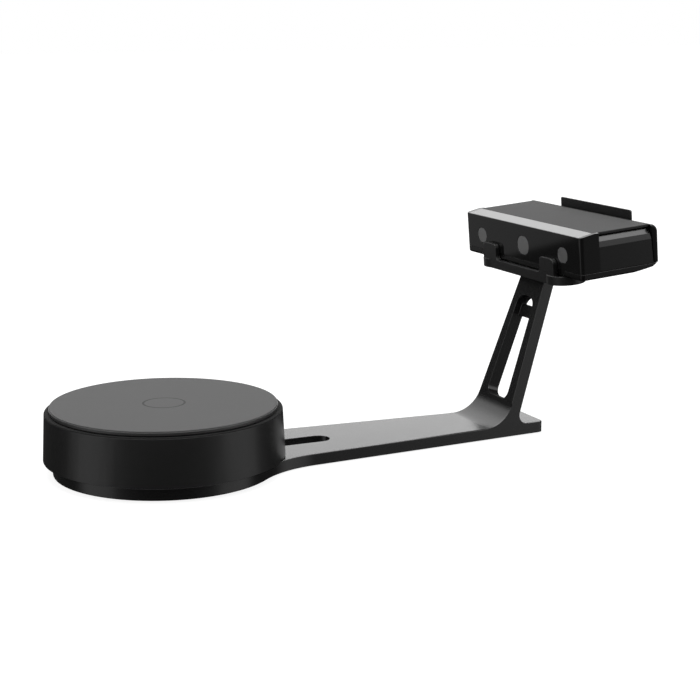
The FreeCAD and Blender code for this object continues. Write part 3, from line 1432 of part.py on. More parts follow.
# ------------------------------------------------------------------ build all pieces
stand_casting()
base_feet()
arm_foot()
turntable_screws()
turntable_tray()
turntable_housing()
housing_screws()
bearing("lower_bearing", "lower_bearing")
bearing("upper_bearing", "upper_bearing")
platter_spindle()
platter()
platter_screws()
platter_mat()
drive_gear()
drive_pinion()
stepper_motor()
motor_shaft()
motor_bracket()
motor_screws()
turntable_board()
turntable_board_screws()
turntable_socket()
head_cradle()
cradle_screws()
lower_shell()
tripod_insert()
head_screws()
front_mask()
for title in WINDOWS:
    window_pane(title)
bevel_trim()
top_cover()
side_panel("side_panel_left", "")
side_panel("side_panel_right", "-")
rear_cap()
optical_bench()
for title, side in (("left", ""), ("right", "-")):
    camera_module("camera_module_" + title, side)
    lens_barrel("camera_lens_" + title, side + "camera_pitch / 2", "camera_lens_radius",
                "camera_lens_length")
projector_module()
lens_barrel("projector_lens", "projector_offset", "projector_lens_radius",
            "projector_lens_length")
heat_sink()
main_board()
usb_socket()
power_inlet()
turntable_port()
power_switch()
power_button()
fan_frame()
fan_rotor()

doc.recompute()
for item in doc.Objects:
    if {"Invalid", "Error"} & set(item.State):
        raise RuntimeError(f"{item.Label} failed: {item.State}")
for item in subparts:
    if item.Shape.isNull() or not item.Shape.isValid() or not item.Shape.Solids:
        raise RuntimeError(f"{item.Label} has no valid solid")

os.makedirs("parts", exist_ok=True)
for item in subparts:
    item.Shape.exportStep(f"parts/{item.Label}.step")
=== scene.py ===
import json
import math

import bmesh
import bpy
import numpy as np
from mathutils import Matrix, Vector

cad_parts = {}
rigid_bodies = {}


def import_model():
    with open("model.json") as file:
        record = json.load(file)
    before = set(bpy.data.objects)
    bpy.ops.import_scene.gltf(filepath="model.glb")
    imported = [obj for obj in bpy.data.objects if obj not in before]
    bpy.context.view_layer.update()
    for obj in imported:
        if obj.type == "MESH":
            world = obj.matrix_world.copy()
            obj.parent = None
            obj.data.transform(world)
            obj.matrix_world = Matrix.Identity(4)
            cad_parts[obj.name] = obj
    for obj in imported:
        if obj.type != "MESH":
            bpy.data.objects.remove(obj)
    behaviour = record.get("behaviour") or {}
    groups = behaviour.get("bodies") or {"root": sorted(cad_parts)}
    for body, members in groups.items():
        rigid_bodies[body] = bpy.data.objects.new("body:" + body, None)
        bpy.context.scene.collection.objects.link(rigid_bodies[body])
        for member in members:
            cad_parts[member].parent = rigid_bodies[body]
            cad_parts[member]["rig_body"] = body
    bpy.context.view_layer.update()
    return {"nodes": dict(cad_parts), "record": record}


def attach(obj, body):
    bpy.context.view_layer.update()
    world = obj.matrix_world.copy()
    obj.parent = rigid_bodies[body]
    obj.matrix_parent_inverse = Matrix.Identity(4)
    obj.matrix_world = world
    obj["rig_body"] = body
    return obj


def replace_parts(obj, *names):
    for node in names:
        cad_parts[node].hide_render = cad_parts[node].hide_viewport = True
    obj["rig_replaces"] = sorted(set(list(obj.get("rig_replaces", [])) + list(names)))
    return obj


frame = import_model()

MM = 0.001
scene = bpy.context.scene
scene.view_settings.view_transform = "Standard"
NODE_BODY = {n: o["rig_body"] for n, o in frame["nodes"].items()}
NODE_SLOT = {s["node"]: s["material_slot"] for s in frame["record"]["subparts"]}


# ------------------------------------ camera, floor and light
def grey(level):
    """A linear colour from a grey as it is seen on a screen, 0 to 255."""
    v = level / 255
    v = v / 12.92 if v <= 0.04045 else ((v + 0.055) / 1.055) ** 2.4
    return (v, v, v, 1)


FOCAL_LENGTH, SENSOR_WIDTH = 84.364, 36         # mm
CAMERA_PLACE = (-433.39, -1321.80, 398.0)       # mm
CAMERA_YAW, CAMERA_PITCH = 24.8106, 11.9045     # degrees, from +Y towards +X, and down
NEAREST, FARTHEST = 0.05, 30                    # metres, what the camera takes in


def make_camera():
    data = bpy.data.cameras.new("camera")
    data.lens, data.sensor_width = FOCAL_LENGTH, SENSOR_WIDTH
    data.clip_start, data.clip_end = NEAREST, FARTHEST
    camera = bpy.data.objects.new("camera", data)
    scene.collection.objects.link(camera)
    yaw, pitch = math.radians(CAMERA_YAW), math.radians(CAMERA_PITCH)
    look = Vector((math.sin(yaw) * math.cos(pitch), math.cos(yaw) * math.cos(pitch),
                   -math.sin(pitch)))
    camera.location = Vector(CAMERA_PLACE) * MM
    camera.rotation_mode = "QUATERNION"
    camera.rotation_quaternion = look.to_track_quat("-Z", "Y")
    scene.camera = camera


def area_light(name, place, aim, size, power):
    data = bpy.data.lights.new(name, "AREA")
    data.shape = "RECTANGLE"
    data.size, data.size_y = size
    data.energy = power
    lamp = bpy.data.objects.new(name, data)
    scene.collection.objects.link(lamp)
    lamp.location = place
    lamp.rotation_mode = "QUATERNION"
    lamp.rotation_quaternion = (Vector(aim) - Vector(place)).to_track_quat("-Z", "Y")
    lamp.visible_glossy = False


def add(tree, kind, inputs=None, **settings):
    """A shader or geometry node, with its sockets linked or set."""
    node = tree.nodes.new(kind)
    for name, value in settings.items():
        setattr(node, name, value)
    for name, value in (inputs or {}).items():
        socket = node.inputs[name]
        if isinstance(value, bpy.types.NodeSocket):
            tree.links.new(value, socket)
        else:
            socket.default_value = value
    return node


def ramp(tree, value, low, high, start=0.0, end=1.0):
    """A soft step of a value, from start at low to end at high."""
    return add(tree, "ShaderNodeMapRange", {0: value, 1: low, 2: high, 3: start, 4: end},
               interpolation_type="SMOOTHSTEP").outputs[0]


def maths(tree, operation, first, second=0.0):
    """Arithmetic on one or two values."""
    return add(tree, "ShaderNodeMath", {0: first, 1: second}, operation=operation).outputs[0]


def times(tree, first, second):
    return maths(tree, "MULTIPLY", first, second)


def larger(tree, first, second):
    return maths(tree, "MAXIMUM", first, second)


def multiply_add(tree, value, factor, extra):
    return add(tree, "ShaderNodeMath", {0: value, 1: factor, 2: extra},
               operation="MULTIPLY_ADD").outputs[0]


def vectors(tree, operation, first, second=(0, 0, 0), output=0):
    """Arithmetic on one or two vectors. A dot product or a length is at output "Value"."""
    return add(tree, "ShaderNodeVectorMath", {0: first, 1: second},
               operation=operation).outputs[output]


def scaled(tree, vector, factor):
    return add(tree, "ShaderNodeVectorMath", {0: vector, "Scale": factor},
               operation="SCALE").outputs[0]


def part_of(tree, vector, axis):
    return add(tree, "ShaderNodeSeparateXYZ", {0: vector}).outputs[axis]


def vector_of(tree, **axes):
    return add(tree, "ShaderNodeCombineXYZ", axes).outputs[0]


def object_place(tree):
    return add(tree, "ShaderNodeTexCoord").outputs["Object"]


def white_light(tree, kind, strength):
    return add(tree, kind, {"Color": (1, 1, 1, 1), "Strength": strength}).outputs[0]


def mixed_shader(tree, factor, first, second):
    return add(tree, "ShaderNodeMixShader", {0: factor, 1: first, 2: second}).outputs[0]


def seen_directly(tree):
    """1 for camera, glossy and transmission rays."""
    path = add(tree, "ShaderNodeLightPath")
    return larger(tree, larger(tree, path.outputs["Is Camera Ray"],
                               path.outputs["Is Glossy Ray"]),
                  path.outputs["Is Transmission Ray"])


def empty_material(name):
    made = bpy.data.materials.new(name)
    made.use_nodes = True
    made.node_tree.nodes.clear()
    return made, made.node_tree


FRONT = (-0.2974, -0.9548, 0.0)      # from the object to the middle between the side softboxes
BACK = (0.4196, 0.9077, 0.0)         # from the object to the middle of the backdrop
TOP_LIGHT, DIM_ROOM = 7.0, 0.04      # strengths in a mirror
FLOOR_REACH = 12.0                   # metres
FLOOR_GREY = (0.3, 0.3, 0.3, 1)


def make_world():
    """White backdrop, two side softboxes, a top light and a dim room in front, as mirrored."""
    world = bpy.data.worlds.new("studio")
    scene.world = world
    world.use_nodes = True
    tree = world.node_tree
    tree.nodes.clear()
    way = add(tree, "ShaderNodeTexCoord").outputs["Generated"]
    level = vectors(tree, "NORMALIZE", vectors(tree, "MULTIPLY", way, (1, 1, 0)))
    ahead, behind = (vectors(tree, "DOT_PRODUCT", level, towards, "Value")
                     for towards in (FRONT, BACK))
    height = part_of(tree, way, "Z")
    # The side softboxes: their ends towards the front and the back, then their top, a slight
    # fall-off downwards and their bottom.
    side = times(tree, ramp(tree, ahead, 0.64, 0.54), ramp(tree, ahead, -0.22, 0.08))
    side = times(tree, side, ramp(tree, height, 0.75, 0.45))
    side = times(tree, side, ramp(tree, height, -0.30, 0.20, 0.87, 1.1))
    side = times(tree, side, ramp(tree, height, -0.50, -0.30))
    # A faint haze between the middle of the front and the softboxes.
    haze = times(tree, ramp(tree, ahead, 0.95, 0.55, 0.0, 0.22), ramp(tree, ahead, -0.2, 0.1))
    side = larger(tree, side, haze)
    # The bright room above the horizon, in the front half.
    sky = times(tree, ramp(tree, ahead, -0.2, 0.3), ramp(tree, height, 0.03, 0.18, 0.0, 1.8))
    # The backdrop: it starts above the horizon, dims higher up, and is wider higher up.
    lifted = multiply_add(tree, height, 0.8, behind)
    back = times(tree, ramp(tree, height, 0.04, 0.14, 0.0, 2.3),
                 ramp(tree, height, 0.20, 0.32, 1.0, 0.6))
    back = times(tree, back, ramp(tree, lifted, 0.80, 1.0))
    top = ramp(tree, height, 0.52, 0.76, 0.0, TOP_LIGHT)
    lit = larger(tree, larger(tree, side, back), larger(tree, sky, top))
    gloss = maths(tree, "ADD", lit, DIM_ROOM)
    path = add(tree, "ShaderNodeLightPath")
    direct = larger(tree, path.outputs["Is Camera Ray"], path.outputs["Is Transmission Ray"])
    room = white_light(tree, "ShaderNodeBackground", ramp(tree, height, -0.2, 0.6, 0.25, 0.6))
    mirrored = white_light(tree, "ShaderNodeBackground", gloss)
    white = white_light(tree, "ShaderNodeBackground", 1.0)
    unseen = mixed_shader(tree, path.outputs["Is Glossy Ray"], room, mirrored)
    add(tree, "ShaderNodeOutputWorld", {"Surface": mixed_shader(tree, direct, unseen, white)})


def make_floor():
    """A pale floor: white to the camera, plain to the light, dim near by in a mirror."""
    mesh = bpy.data.meshes.new("floor")
    corners = [(x * FLOOR_REACH, y * FLOOR_REACH, 0)
               for x, y in ((-1, -1), (1, -1), (1, 1), (-1, 1))]
    mesh.from_pydata(corners, [], [(0, 1, 2, 3)])
    floor = bpy.data.objects.new("floor", mesh)
    scene.collection.objects.link(floor)
    finish, tree = empty_material("pale_floor")
    where = object_place(tree)
    away = vectors(tree, "LENGTH", where, output="Value")
    plain = add(tree, "ShaderNodeBsdfDiffuse", {"Color": FLOOR_GREY}).outputs[0]
    glow = white_light(tree, "ShaderNodeEmission", ramp(tree, away, 0.6, 1.4, 0.86, 1.0))
    both = add(tree, "ShaderNodeAddShader", {0: plain, 1: glow}).outputs[0]
    pale = mixed_shader(tree, seen_directly(tree), plain, both)
    depth = part_of(tree, where, "Y")
    near = add(tree, "ShaderNodeBsdfTransparent").outputs[0]
    sheet = white_light(tree, "ShaderNodeEmission", ramp(tree, depth, 0.6, 3.0, 0.32, 0.9))
    mirrored = mixed_shader(tree, ramp(tree, depth, 0.61, 0.65), near, sheet)
    path = add(tree, "ShaderNodeLightPath")
    shown = mixed_shader(tree, path.outputs["Is Glossy Ray"], pale, mirrored)
    add(tree, "ShaderNodeOutputMaterial", {"Surface": shown})
    mesh.materials.append(finish)


make_camera()
make_world()
make_floor()
area_light("overhead_softbox", (0.1, 0.1, 1.7), (0.15, 0, 0), (1.6, 1.6), 22)
area_light("left_softbox", (-1.5, 0.1, 0.6), (0, 0, 0.05), (0.9, 1.0), 5)
area_light("right_softbox", (1.3, -0.95, 0.6), (0.1, 0, 0.05), (0.9, 1.0), 5)


# ------------------------------------ shader effects
NUMBER, COLOUR, ARROW = "NodeSocketFloat", "NodeSocketColor", "NodeSocketVector"


def new_group(name, inputs, outputs):
    """An empty shader group with its sockets, and its input and output nodes."""
    tree = bpy.data.node_groups.new(name, "ShaderNodeTree")
    for label, kind, value in inputs:
        socket = tree.interface.new_socket(label, in_out="INPUT", socket_type=kind)
        socket.default_value = value
    for label, kind in outputs:
        tree.interface.new_socket(label, in_out="OUTPUT", socket_type=kind)
    start = tree.nodes.new("NodeGroupInput")
    end = tree.nodes.new("NodeGroupOutput")
    return tree, start.outputs, end.inputs


def end_group(tree, made, **results):
    """The group with its results on its output sockets."""
    for label, value in results.items():
        tree.links.new(value, made[label])
    return tree


def noise(tree, where, scale, detail):
    return add(tree, "ShaderNodeTexNoise", {"Vector": where, "Scale": scale,
                                            "Detail": detail}).outputs["Fac"]


def surface_grain_group():
    """Fine grain of paint, moulded plastic or rubber: colour, roughness and height."""
    tree, given, made = new_group(
        "surface_grain",
        [("Colour", COLOUR, (0.1, 0.1, 0.1, 1)), ("Colour Spread", NUMBER, 0.1),
         ("Grain Scale", NUMBER, 2500.0), ("Cloud Scale", NUMBER, 18.0),
         ("Roughness", NUMBER, 0.4), ("Roughness Spread", NUMBER, 0.05)],
        [("Colour", COLOUR), ("Roughness", NUMBER), ("Height", NUMBER)])
    where = object_place(tree)
    grain = noise(tree, where, given["Grain Scale"], 3.0)
    cloud = noise(tree, where, given["Cloud Scale"], 5.0)
    centred = maths(tree, "SUBTRACT", maths(tree, "ADD", grain, cloud), 1.0)
    factor = maths(tree, "ADD", times(tree, centred, given["Colour Spread"]), 1.0)
    tone = scaled(tree, given["Colour"], factor)
    rough = multiply_add(tree, centred, given["Roughness Spread"], given["Roughness"])
    return end_group(tree, made, Colour=tone, Roughness=rough, Height=grain)


def edge_wear_and_highlight_group():
    """A mask, 1 on outer edges and broken up by noise: partly rubbed wear, partly painted
    highlight.
    """
    tree, given, made = new_group(
        "edge_wear", [("Width", NUMBER, 0.0006), ("Amount", NUMBER, 0.5)], [("Mask", NUMBER)])
    round_normal = add(tree, "ShaderNodeBevel", {"Radius": given["Width"]}, samples=4)
    flat = add(tree, "ShaderNodeNewGeometry").outputs["Normal"]
    alike = vectors(tree, "DOT_PRODUCT", round_normal.outputs[0], flat, "Value")
    broken = ramp(tree, noise(tree, object_place(tree), 240.0, 4.0), 0.40, 0.62)
    both = times(tree, ramp(tree, alike, 0.99, 0.80), broken)
    return end_group(tree, made, Mask=times(tree, both, given["Amount"]))


def settled_dust_group():
    """A mask of thin dust and a few specks on the faces that look up."""
    tree, given, made = new_group(
        "settled_dust", [("Amount", NUMBER, 0.1), ("Patch Scale", NUMBER, 30.0)],
        [("Mask", NUMBER)])
    normal = add(tree, "ShaderNodeNewGeometry").outputs["Normal"]
    upward = ramp(tree, part_of(tree, normal, "Z"), 0.5, 0.95)
    where = object_place(tree)
    patches = ramp(tree, noise(tree, where, given["Patch Scale"], 6.0), 0.35, 0.75, 0.15, 0.6)
    specks = ramp(tree, noise(tree, where, 1500.0, 1.0), 0.70, 0.76)
    both = times(tree, maths(tree, "ADD", patches, specks), upward)
    return end_group(tree, made, Mask=times(tree, both, given["Amount"]))


def tool_marks_group():
    """Fine parallel lines of rolling, milling or brushing: roughness and height."""
    tree, given, made = new_group(
        "tool_marks", [("Stretch", ARROW, (60.0, 2500.0, 2500.0)), ("Roughness", NUMBER, 0.3),
                       ("Contrast", NUMBER, 0.15)],
        [("Roughness", NUMBER), ("Height", NUMBER)])
    drawn = vectors(tree, "MULTIPLY", object_place(tree), given["Stretch"])
    lines = noise(tree, drawn, 1.0, 2.0)
    rough = multiply_add(tree, maths(tree, "SUBTRACT", lines, 0.5), given["Contrast"],
                         given["Roughness"])
    return end_group(tree, made, Roughness=rough, Height=lines)


def paint_flake_group():
    """Flakes in metallic paint: a shade that changes from flake to flake."""
    tree, given, made = new_group(
        "paint_flake", [("Colour", COLOUR, (0.5, 0.5, 0.5, 1)), ("Flake Scale", NUMBER, 4000.0),
                        ("Contrast", NUMBER, 0.15)], [("Colour", COLOUR)])
    cells = add(tree, "ShaderNodeTexVoronoi", {"Vector": object_place(tree),
                                               "Scale": given["Flake Scale"]})
    shade = part_of(tree, cells.outputs["Color"], "X")
    factor = multiply_add(tree, maths(tree, "SUBTRACT", shade, 0.5), given["Contrast"], 1.0)
    return end_group(tree, made, Colour=scaled(tree, given["Colour"], factor))


GLASS_INDEX = 1.5
DUST_COLOUR = grey(150)
GRAIN = surface_grain_group()
EDGE_WEAR_AND_HIGHLIGHT = edge_wear_and_highlight_group()
DUST = settled_dust_group()
MARKS = tool_marks_group()
FLAKES = paint_flake_group()


def placed_group(tree, group, values):
    """A shared effect in a material, with that material's own values."""
    return add(tree, "ShaderNodeGroup", values, node_tree=group).outputs


def blended(tree, mask, under, over):
    return add(tree, "ShaderNodeMix", {"Factor": mask, 6: under, 7: over},
               data_type="RGBA").outputs[2]


def finish_material(name, colour, roughness, grain=2500.0, depth=0.02, spread=0.12,
                    rough_spread=0.06, specular=0.5, metallic=0.0, wear_and_highlight=None, dust=0.0,
                    marks=None, flakes=None):
    """A material with its own values of the shared effects. Depth is in mm."""
    made, tree = empty_material(name)
    skin = placed_group(tree, GRAIN, {"Colour": colour, "Colour Spread": spread,
                                      "Grain Scale": grain, "Roughness": roughness,
                                      "Roughness Spread": rough_spread})
    tone, rough, height = skin["Colour"], skin["Roughness"], skin["Height"]
    if marks:
        lines = placed_group(tree, MARKS, {"Stretch": marks, "Roughness": roughness})
        rough, height = lines["Roughness"], lines["Height"]
    if flakes:
        tone = placed_group(tree, FLAKES, {"Colour": tone, "Flake Scale": flakes})["Colour"]
    # Lighter edges: partly rubbed wear, partly a painted highlight along the edges.
    if wear_and_highlight:
        width, amount, edge_tone = wear_and_highlight
        edge = placed_group(tree, EDGE_WEAR_AND_HIGHLIGHT, {"Width": width * MM, "Amount": amount})["Mask"]
        tone = blended(tree, edge, tone, grey(edge_tone))
    if dust:
        layer = placed_group(tree, DUST, {"Amount": dust})["Mask"]
        tone = blended(tree, layer, tone, DUST_COLOUR)
        rough = maths(tree, "ADD", rough, times(tree, layer, 0.5))
    bump = add(tree, "ShaderNodeBump", {"Height": height, "Strength": 1.0,
                                        "Distance": depth * MM})
    shader = add(tree, "ShaderNodeBsdfPrincipled", {
        "Base Color": tone, "Roughness": rough, "Normal": bump.outputs["Normal"],
        "Metallic": metallic, "Specular IOR Level": specular})
    add(tree, "ShaderNodeOutputMaterial", {"Surface": shader.outputs[0]})
    return made


def glass_material(name, colour, roughness, clear, specular=0.5):
    """Glass that lets part of the light through and shows its tint in the rest."""
    made, tree = empty_material(name)
    skin = placed_group(tree, GRAIN, {"Colour": colour, "Roughness": roughness,
                                      "Roughness Spread": 0.01})
    shader = add(tree, "ShaderNodeBsdfPrincipled", {
        "Base Color": skin["Colour"], "Roughness": skin["Roughness"],
        "Transmission Weight": clear, "IOR": GLASS_INDEX, "Specular IOR Level": specular})
    add(tree, "ShaderNodeOutputMaterial", {"Surface": shader.outputs[0]})
    return made


# Stretch of the tool marks: lines along x, lines along y, and rings.
ALONG_X, ALONG_Y = (60.0, 2500.0, 2500.0), (2500.0, 60.0, 2500.0)
ROUND = (900.0, 900.0, 4000.0)

# The lighter edges given to some finishes are partly rubbed wear and partly a painted highlight.
FINISHES = {
    "stand_paint": finish_material("satin_black_powder_coat", grey(20), 0.25, grain=1300.0,
                                   specular=0.4, wear_and_highlight=(0.5, 0.25, 70), dust=0.015),
    "cradle_paint": finish_material("satin_black_cradle_paint", grey(18), 0.38, specular=0.32,
                                    grain=1300.0, depth=0.03, wear_and_highlight=(0.4, 0.15, 70), dust=0.015),
    "drum_plastic": finish_material("fine_satin_black_plastic", grey(19), 0.32, specular=0.38,
                                    grain=3800.0, depth=0.01, dust=0.02),
    "tray_plastic": finish_material("matte_black_plastic", grey(24), 0.6, grain=1800.0),
    "platter_metal": finish_material("dark_anodised_rim", grey(36), 0.42, depth=0.006,
                                     marks=ROUND),
    "grip_rubber": finish_material("grey_grip_mat", grey(86), 0.85, grain=2200.0,
                                   depth=0.04, specular=0.05, spread=0.10),
    "foot_rubber": finish_material("black_foot_rubber", grey(28), 0.8, specular=0.3,
                                   grain=1500.0, depth=0.05),
    "mask_gloss": finish_material("piano_black_mask", grey(18), 0.06, depth=0.0,
                                  rough_spread=0.03, specular=0.25),
    "bevel_silver": finish_material("fine_silver_paint", grey(106), 0.35, grain=5000.0,
                                    depth=0.005, spread=0.04, metallic=0.4, flakes=4500.0),
    "cover_grey": finish_material("satin_grey_lid", grey(40), 0.66, specular=0.06, grain=3200.0,
                                  depth=0.01, dust=0.02),
    "shell_black": finish_material("satin_black_shell", grey(10), 0.24, specular=0.25,
                                   depth=0.01),
    "side_grey": finish_material("satin_dark_side_cover", grey(12), 0.24, grain=3000.0,
                                 depth=0.01, specular=0.28),
    "cap_black": finish_material("gloss_black_back_cover", grey(5), 0.14, specular=0.12,
                                 depth=0.002),
    "button_plastic": finish_material("satin_button", grey(70), 0.32, depth=0.005),
    "steel": finish_material("turned_steel", grey(190), 0.3, metallic=1.0, marks=ROUND,
                             depth=0.004),
    "screw_black": finish_material("black_oxide_steel", grey(48), 0.36, metallic=0.8,
                                   marks=ROUND, depth=0.004, wear_and_highlight=(0.2, 0.5, 150)),
    "gear_plastic": finish_material("natural_acetal", grey(215), 0.45, spread=0.04),
    "pinion_brass": finish_material("machined_brass", (0.72, 0.5, 0.2, 1), 0.3,
                                    metallic=1.0, marks=ROUND, depth=0.004),
    "motor_case": finish_material("black_motor_case", grey(45), 0.4, metallic=0.5,
                                  marks=ALONG_X, depth=0.006),
    "bracket_sheet": finish_material("zinc_plated_sheet", grey(180), 0.4, metallic=1.0,
                                     marks=ALONG_Y, depth=0.008),
    "board_green": finish_material("green_solder_mask", (0.01, 0.12, 0.05, 1), 0.32,
                                   grain=900.0, depth=0.01),
    "socket_black": finish_material("moulded_socket_black", grey(26), 0.42, depth=0.01),
    "usb_shell": finish_material("plated_socket_shell", grey(200), 0.24, metallic=1.0,
                                 marks=ALONG_X, depth=0.003),
    "bench_alu": finish_material("milled_aluminium", grey(185), 0.35, metallic=1.0,
                                 marks=ALONG_Y, depth=0.008),
    "camera_case": finish_material("black_anodised_case", grey(40), 0.4, metallic=0.6,
                                   wear_and_highlight=(0.3, 0.4, 130)),
    "lens_barrel": finish_material("black_anodised_barrel", grey(28), 0.35, metallic=0.4),
    "engine_case": finish_material("cast_grey_case", grey(120), 0.5, metallic=0.7,
                                   grain=1400.0, depth=0.05),
    "sink_alu": finish_material("extruded_aluminium", grey(180), 0.4, metallic=1.0,
                                marks=ROUND, depth=0.006),
    "fan_plastic": finish_material("black_fan_plastic", grey(22), 0.5),
    "insert_brass": finish_material("brass_insert", (0.75, 0.55, 0.25, 1), 0.3,
                                    metallic=1.0, marks=ROUND, depth=0.004),
    "window_glass": glass_material("coated_window_glass", grey(118), 0.08, 0.4, 0.4),
}
LENS_GLASS = glass_material("coated_lens_glass", (0.30, 0.26, 0.42, 1), 0.02, 0.85)
GOLD = finish_material("gold_plating", (0.83, 0.60, 0.24, 1), 0.22, metallic=1.0, depth=0.002)
CHIP_RESIN = finish_material("matte_chip_resin", grey(32), 0.55, grain=4000.0, depth=0.01)
BARE_STEEL = finish_material("stacked_steel_sheet", grey(150), 0.38, metallic=1.0,
                             marks=ALONG_X, depth=0.006)
# Painted shade: a dull black finish for places that are to read as shaded.
SHADE_PAINTED_BLACK = finish_material("matte_black_recess", grey(19), 0.75, specular=0.03)
CONNECTOR_WHITE = finish_material("cream_connector_nylon", grey(205), 0.45, spread=0.05)


# ------------------------------------ making pieces
def as_piece(name, mesh, body, slot, *stands_for, material=None):
    """A finished piece on its body, with its given material or the finish of its record slot, and
    the nodes it stands for.
    """
    piece = bpy.data.objects.new(name, mesh)
    scene.collection.objects.link(piece)
    mesh.materials.clear()
    mesh.materials.append(material or FINISHES[slot])
    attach(piece, body)
    if stands_for:
        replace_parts(piece, *stands_for)


FLAT = math.radians(0.4)        # between the faces of a plane
SAME_PLACE = 1e-7               # metres, between points that are one


def merged_copy(node, reach):
    """A welded copy of a node's mesh, with its flat triangles joined. Reach is in mm."""
    mesh = frame["nodes"][node].data.copy()
    work = bmesh.new()
    work.from_mesh(mesh)
    bmesh.ops.remove_doubles(work, verts=work.verts, dist=reach * MM)
    bmesh.ops.dissolve_limit(work, angle_limit=FLAT, verts=work.verts, edges=work.edges)
    work.to_mesh(mesh)
    work.free()
    return mesh


def evaluated(work):
    """The plain mesh of an object with its modifiers, after which the object is removed."""
    depsgraph = bpy.context.evaluated_depsgraph_get()
    result = bpy.data.meshes.new_from_object(work.evaluated_get(depsgraph),
                                             preserve_all_data_layers=True,
                                             depsgraph=depsgraph)
    bpy.data.objects.remove(work)
    return result


SMOOTHED, ALONG = 0.64, 0.94    # cosines between faces that share a normal, and that nearly agree
AS_LARGE = 0.35                 # of the leading face's area
ROUNDS = 5                      # groups of faces at one point, at most


def shading_normals(mesh):
    """A normal for each face corner: flat faces stay flat, curved ones and edges are smooth."""
    count = len(mesh.polygons)
    normal, area = np.empty(3 * count), np.empty(count)
    corners, vertex = np.empty(count, int), np.empty(len(mesh.loops), int)
    mesh.polygons.foreach_get("normal", normal)
    mesh.polygons.foreach_get("area", area)
    mesh.polygons.foreach_get("loop_total", corners)
    mesh.loops.foreach_get("vertex_index", vertex)
    face = np.repeat(np.arange(count), corners)
    normal = normal.reshape(-1, 3)[face]
    area = area[face] + 1e-15
    result = normal.copy()
    left = np.arange(len(vertex))
    for _ in range(ROUNDS):
        # The largest face at each vertex leads; faces nearly along it, or as large, join in.
        order = left[np.argsort(area[left], kind="stable")]
        lead = np.zeros(len(mesh.vertices), int)
        lead[vertex[order]] = order
        first = lead[vertex[left]]
        alike = np.einsum("ij,ij->i", normal[left], normal[first])
        large = area[left] > AS_LARGE * area[first]
        joins = (alike > ALONG) | ((alike > SMOOTHED) & large)
        total = np.zeros((len(mesh.vertices), 3))
        np.add.at(total, vertex[left], normal[left] * (area[left] * joins)[:, None])
        total /= np.linalg.norm(total, axis=1, keepdims=True) + 1e-30
        shared = total[vertex[left]]
        near = np.einsum("ij,ij->i", normal[left], shared) > SMOOTHED
        result[left[near]] = shared[near]
        left = left[~near]
        if not len(left):
            break
    return result


def rounded(mesh, width, angle=32):
    """The mesh with its sharp edges rounded, as a moulded, cast or cut piece has.
    The width is in mm, the least angle in degrees."""
    for face in mesh.polygons:
        face.use_smooth = True
    work = bpy.data.objects.new(mesh.name, mesh)
    scene.collection.objects.link(work)
    bevel = work.modifiers.new("edges", "BEVEL")
    bevel.width, bevel.segments = width * MM, 2
    bevel.limit_method, bevel.angle_limit = "ANGLE", math.radians(angle)
    bevel.use_clamp_overlap = False
    mesh = evaluated(work)
    mesh.normals_split_custom_set(shading_normals(mesh))
    return mesh


HEAD_TILT = math.radians(4.76)
HEAD_X, HEAD_Z = 356.114, 156.477       # mm, the lower front edge
AXIS_HEIGHT = 20.3                      # mm in the head: optics, sockets and button
CAMERA_ACROSS, PROJECTOR_ACROSS = 73.4, -4.2


def head_frame():
    """From the head's own directions, front face at x = 0 and bottom at z = 0, to the row's."""
    c, s = math.cos(HEAD_TILT), math.sin(HEAD_TILT)
    return Matrix(((c, 0, -s, HEAD_X * MM), (0, 1, 0, 0), (s, 0, c, HEAD_Z * MM),
                   (0, 0, 0, 1)))


HEAD = head_frame()
ROW = Matrix.Identity(4)
UPSIDE_DOWN = Matrix.Diagonal((1, -1, -1, 1))
TO_REAR = Matrix(((0, 0, 1, 0), (0, 1, 0, 0), (-1, 0, 0, 0), (0, 0, 0, 1)))     # z to +x
TO_FRONT = Matrix(((0, 0, -1, 0), (0, 1, 0, 0), (1, 0, 0, 0), (0, 0, 0, 1)))    # z to -x
TO_LEFT = Matrix(((1, 0, 0, 0), (0, 0, 1, 0), (0, -1, 0, 0), (0, 0, 0, 1)))     # z to +y


def moved(*place):
    return Matrix.Translation(Vector(place) * MM)


def turned(profile, segments=64):
    """A turned shape from (radius, height) points in mm, closed round the Z axis."""
    work = bmesh.new()
    rings = []
    for radius, height in profile:
        count = segments if radius else 1
        rings.append([work.verts.new((radius * MM * math.cos(2 * math.pi * i / segments),
                                      radius * MM * math.sin(2 * math.pi * i / segments),
                                      height * MM)) for i in range(count)])
    pairs = list(zip(rings, rings[1:]))
    if profile[0][0]:
        pairs.append((rings[-1], rings[0]))
    for low, high in pairs:
        for i in range(segments):
            j = (i + 1) % segments
            corners = [low[i % len(low)], low[j % len(low)], high[j % len(high)],
                       high[i % len(high)]]
            work.faces.new(list(dict.fromkeys(corners)))
    return finished(work, "turned")


def finished(work, name):
    """A mesh from a bmesh, with its faces outwards."""
    bmesh.ops.remove_doubles(work, verts=work.verts, dist=SAME_PLACE)
    bmesh.ops.recalc_face_normals(work, faces=work.faces)
    mesh = bpy.data.meshes.new(name)
    work.to_mesh(mesh)
    work.free()
    return mesh


def blocks(sizes, edge=0.15):
    """Blocks with rounded edges, each from (x, y, z, length, width, height) in mm,
    x and y in the middle and z at the bottom."""
    work = bmesh.new()
    for x, y, z, long, wide, high in sizes:
        cube = bmesh.ops.create_cube(work, size=1.0)["verts"]
        bmesh.ops.scale(work, vec=Vector((long, wide, high)) * MM, verts=cube)
        bmesh.ops.translate(work, vec=Vector((x, y, z + high / 2)) * MM, verts=cube)
    mesh = bpy.data.meshes.new("blocks")
    work.to_mesh(mesh)
    work.free()
    return rounded(mesh, edge)


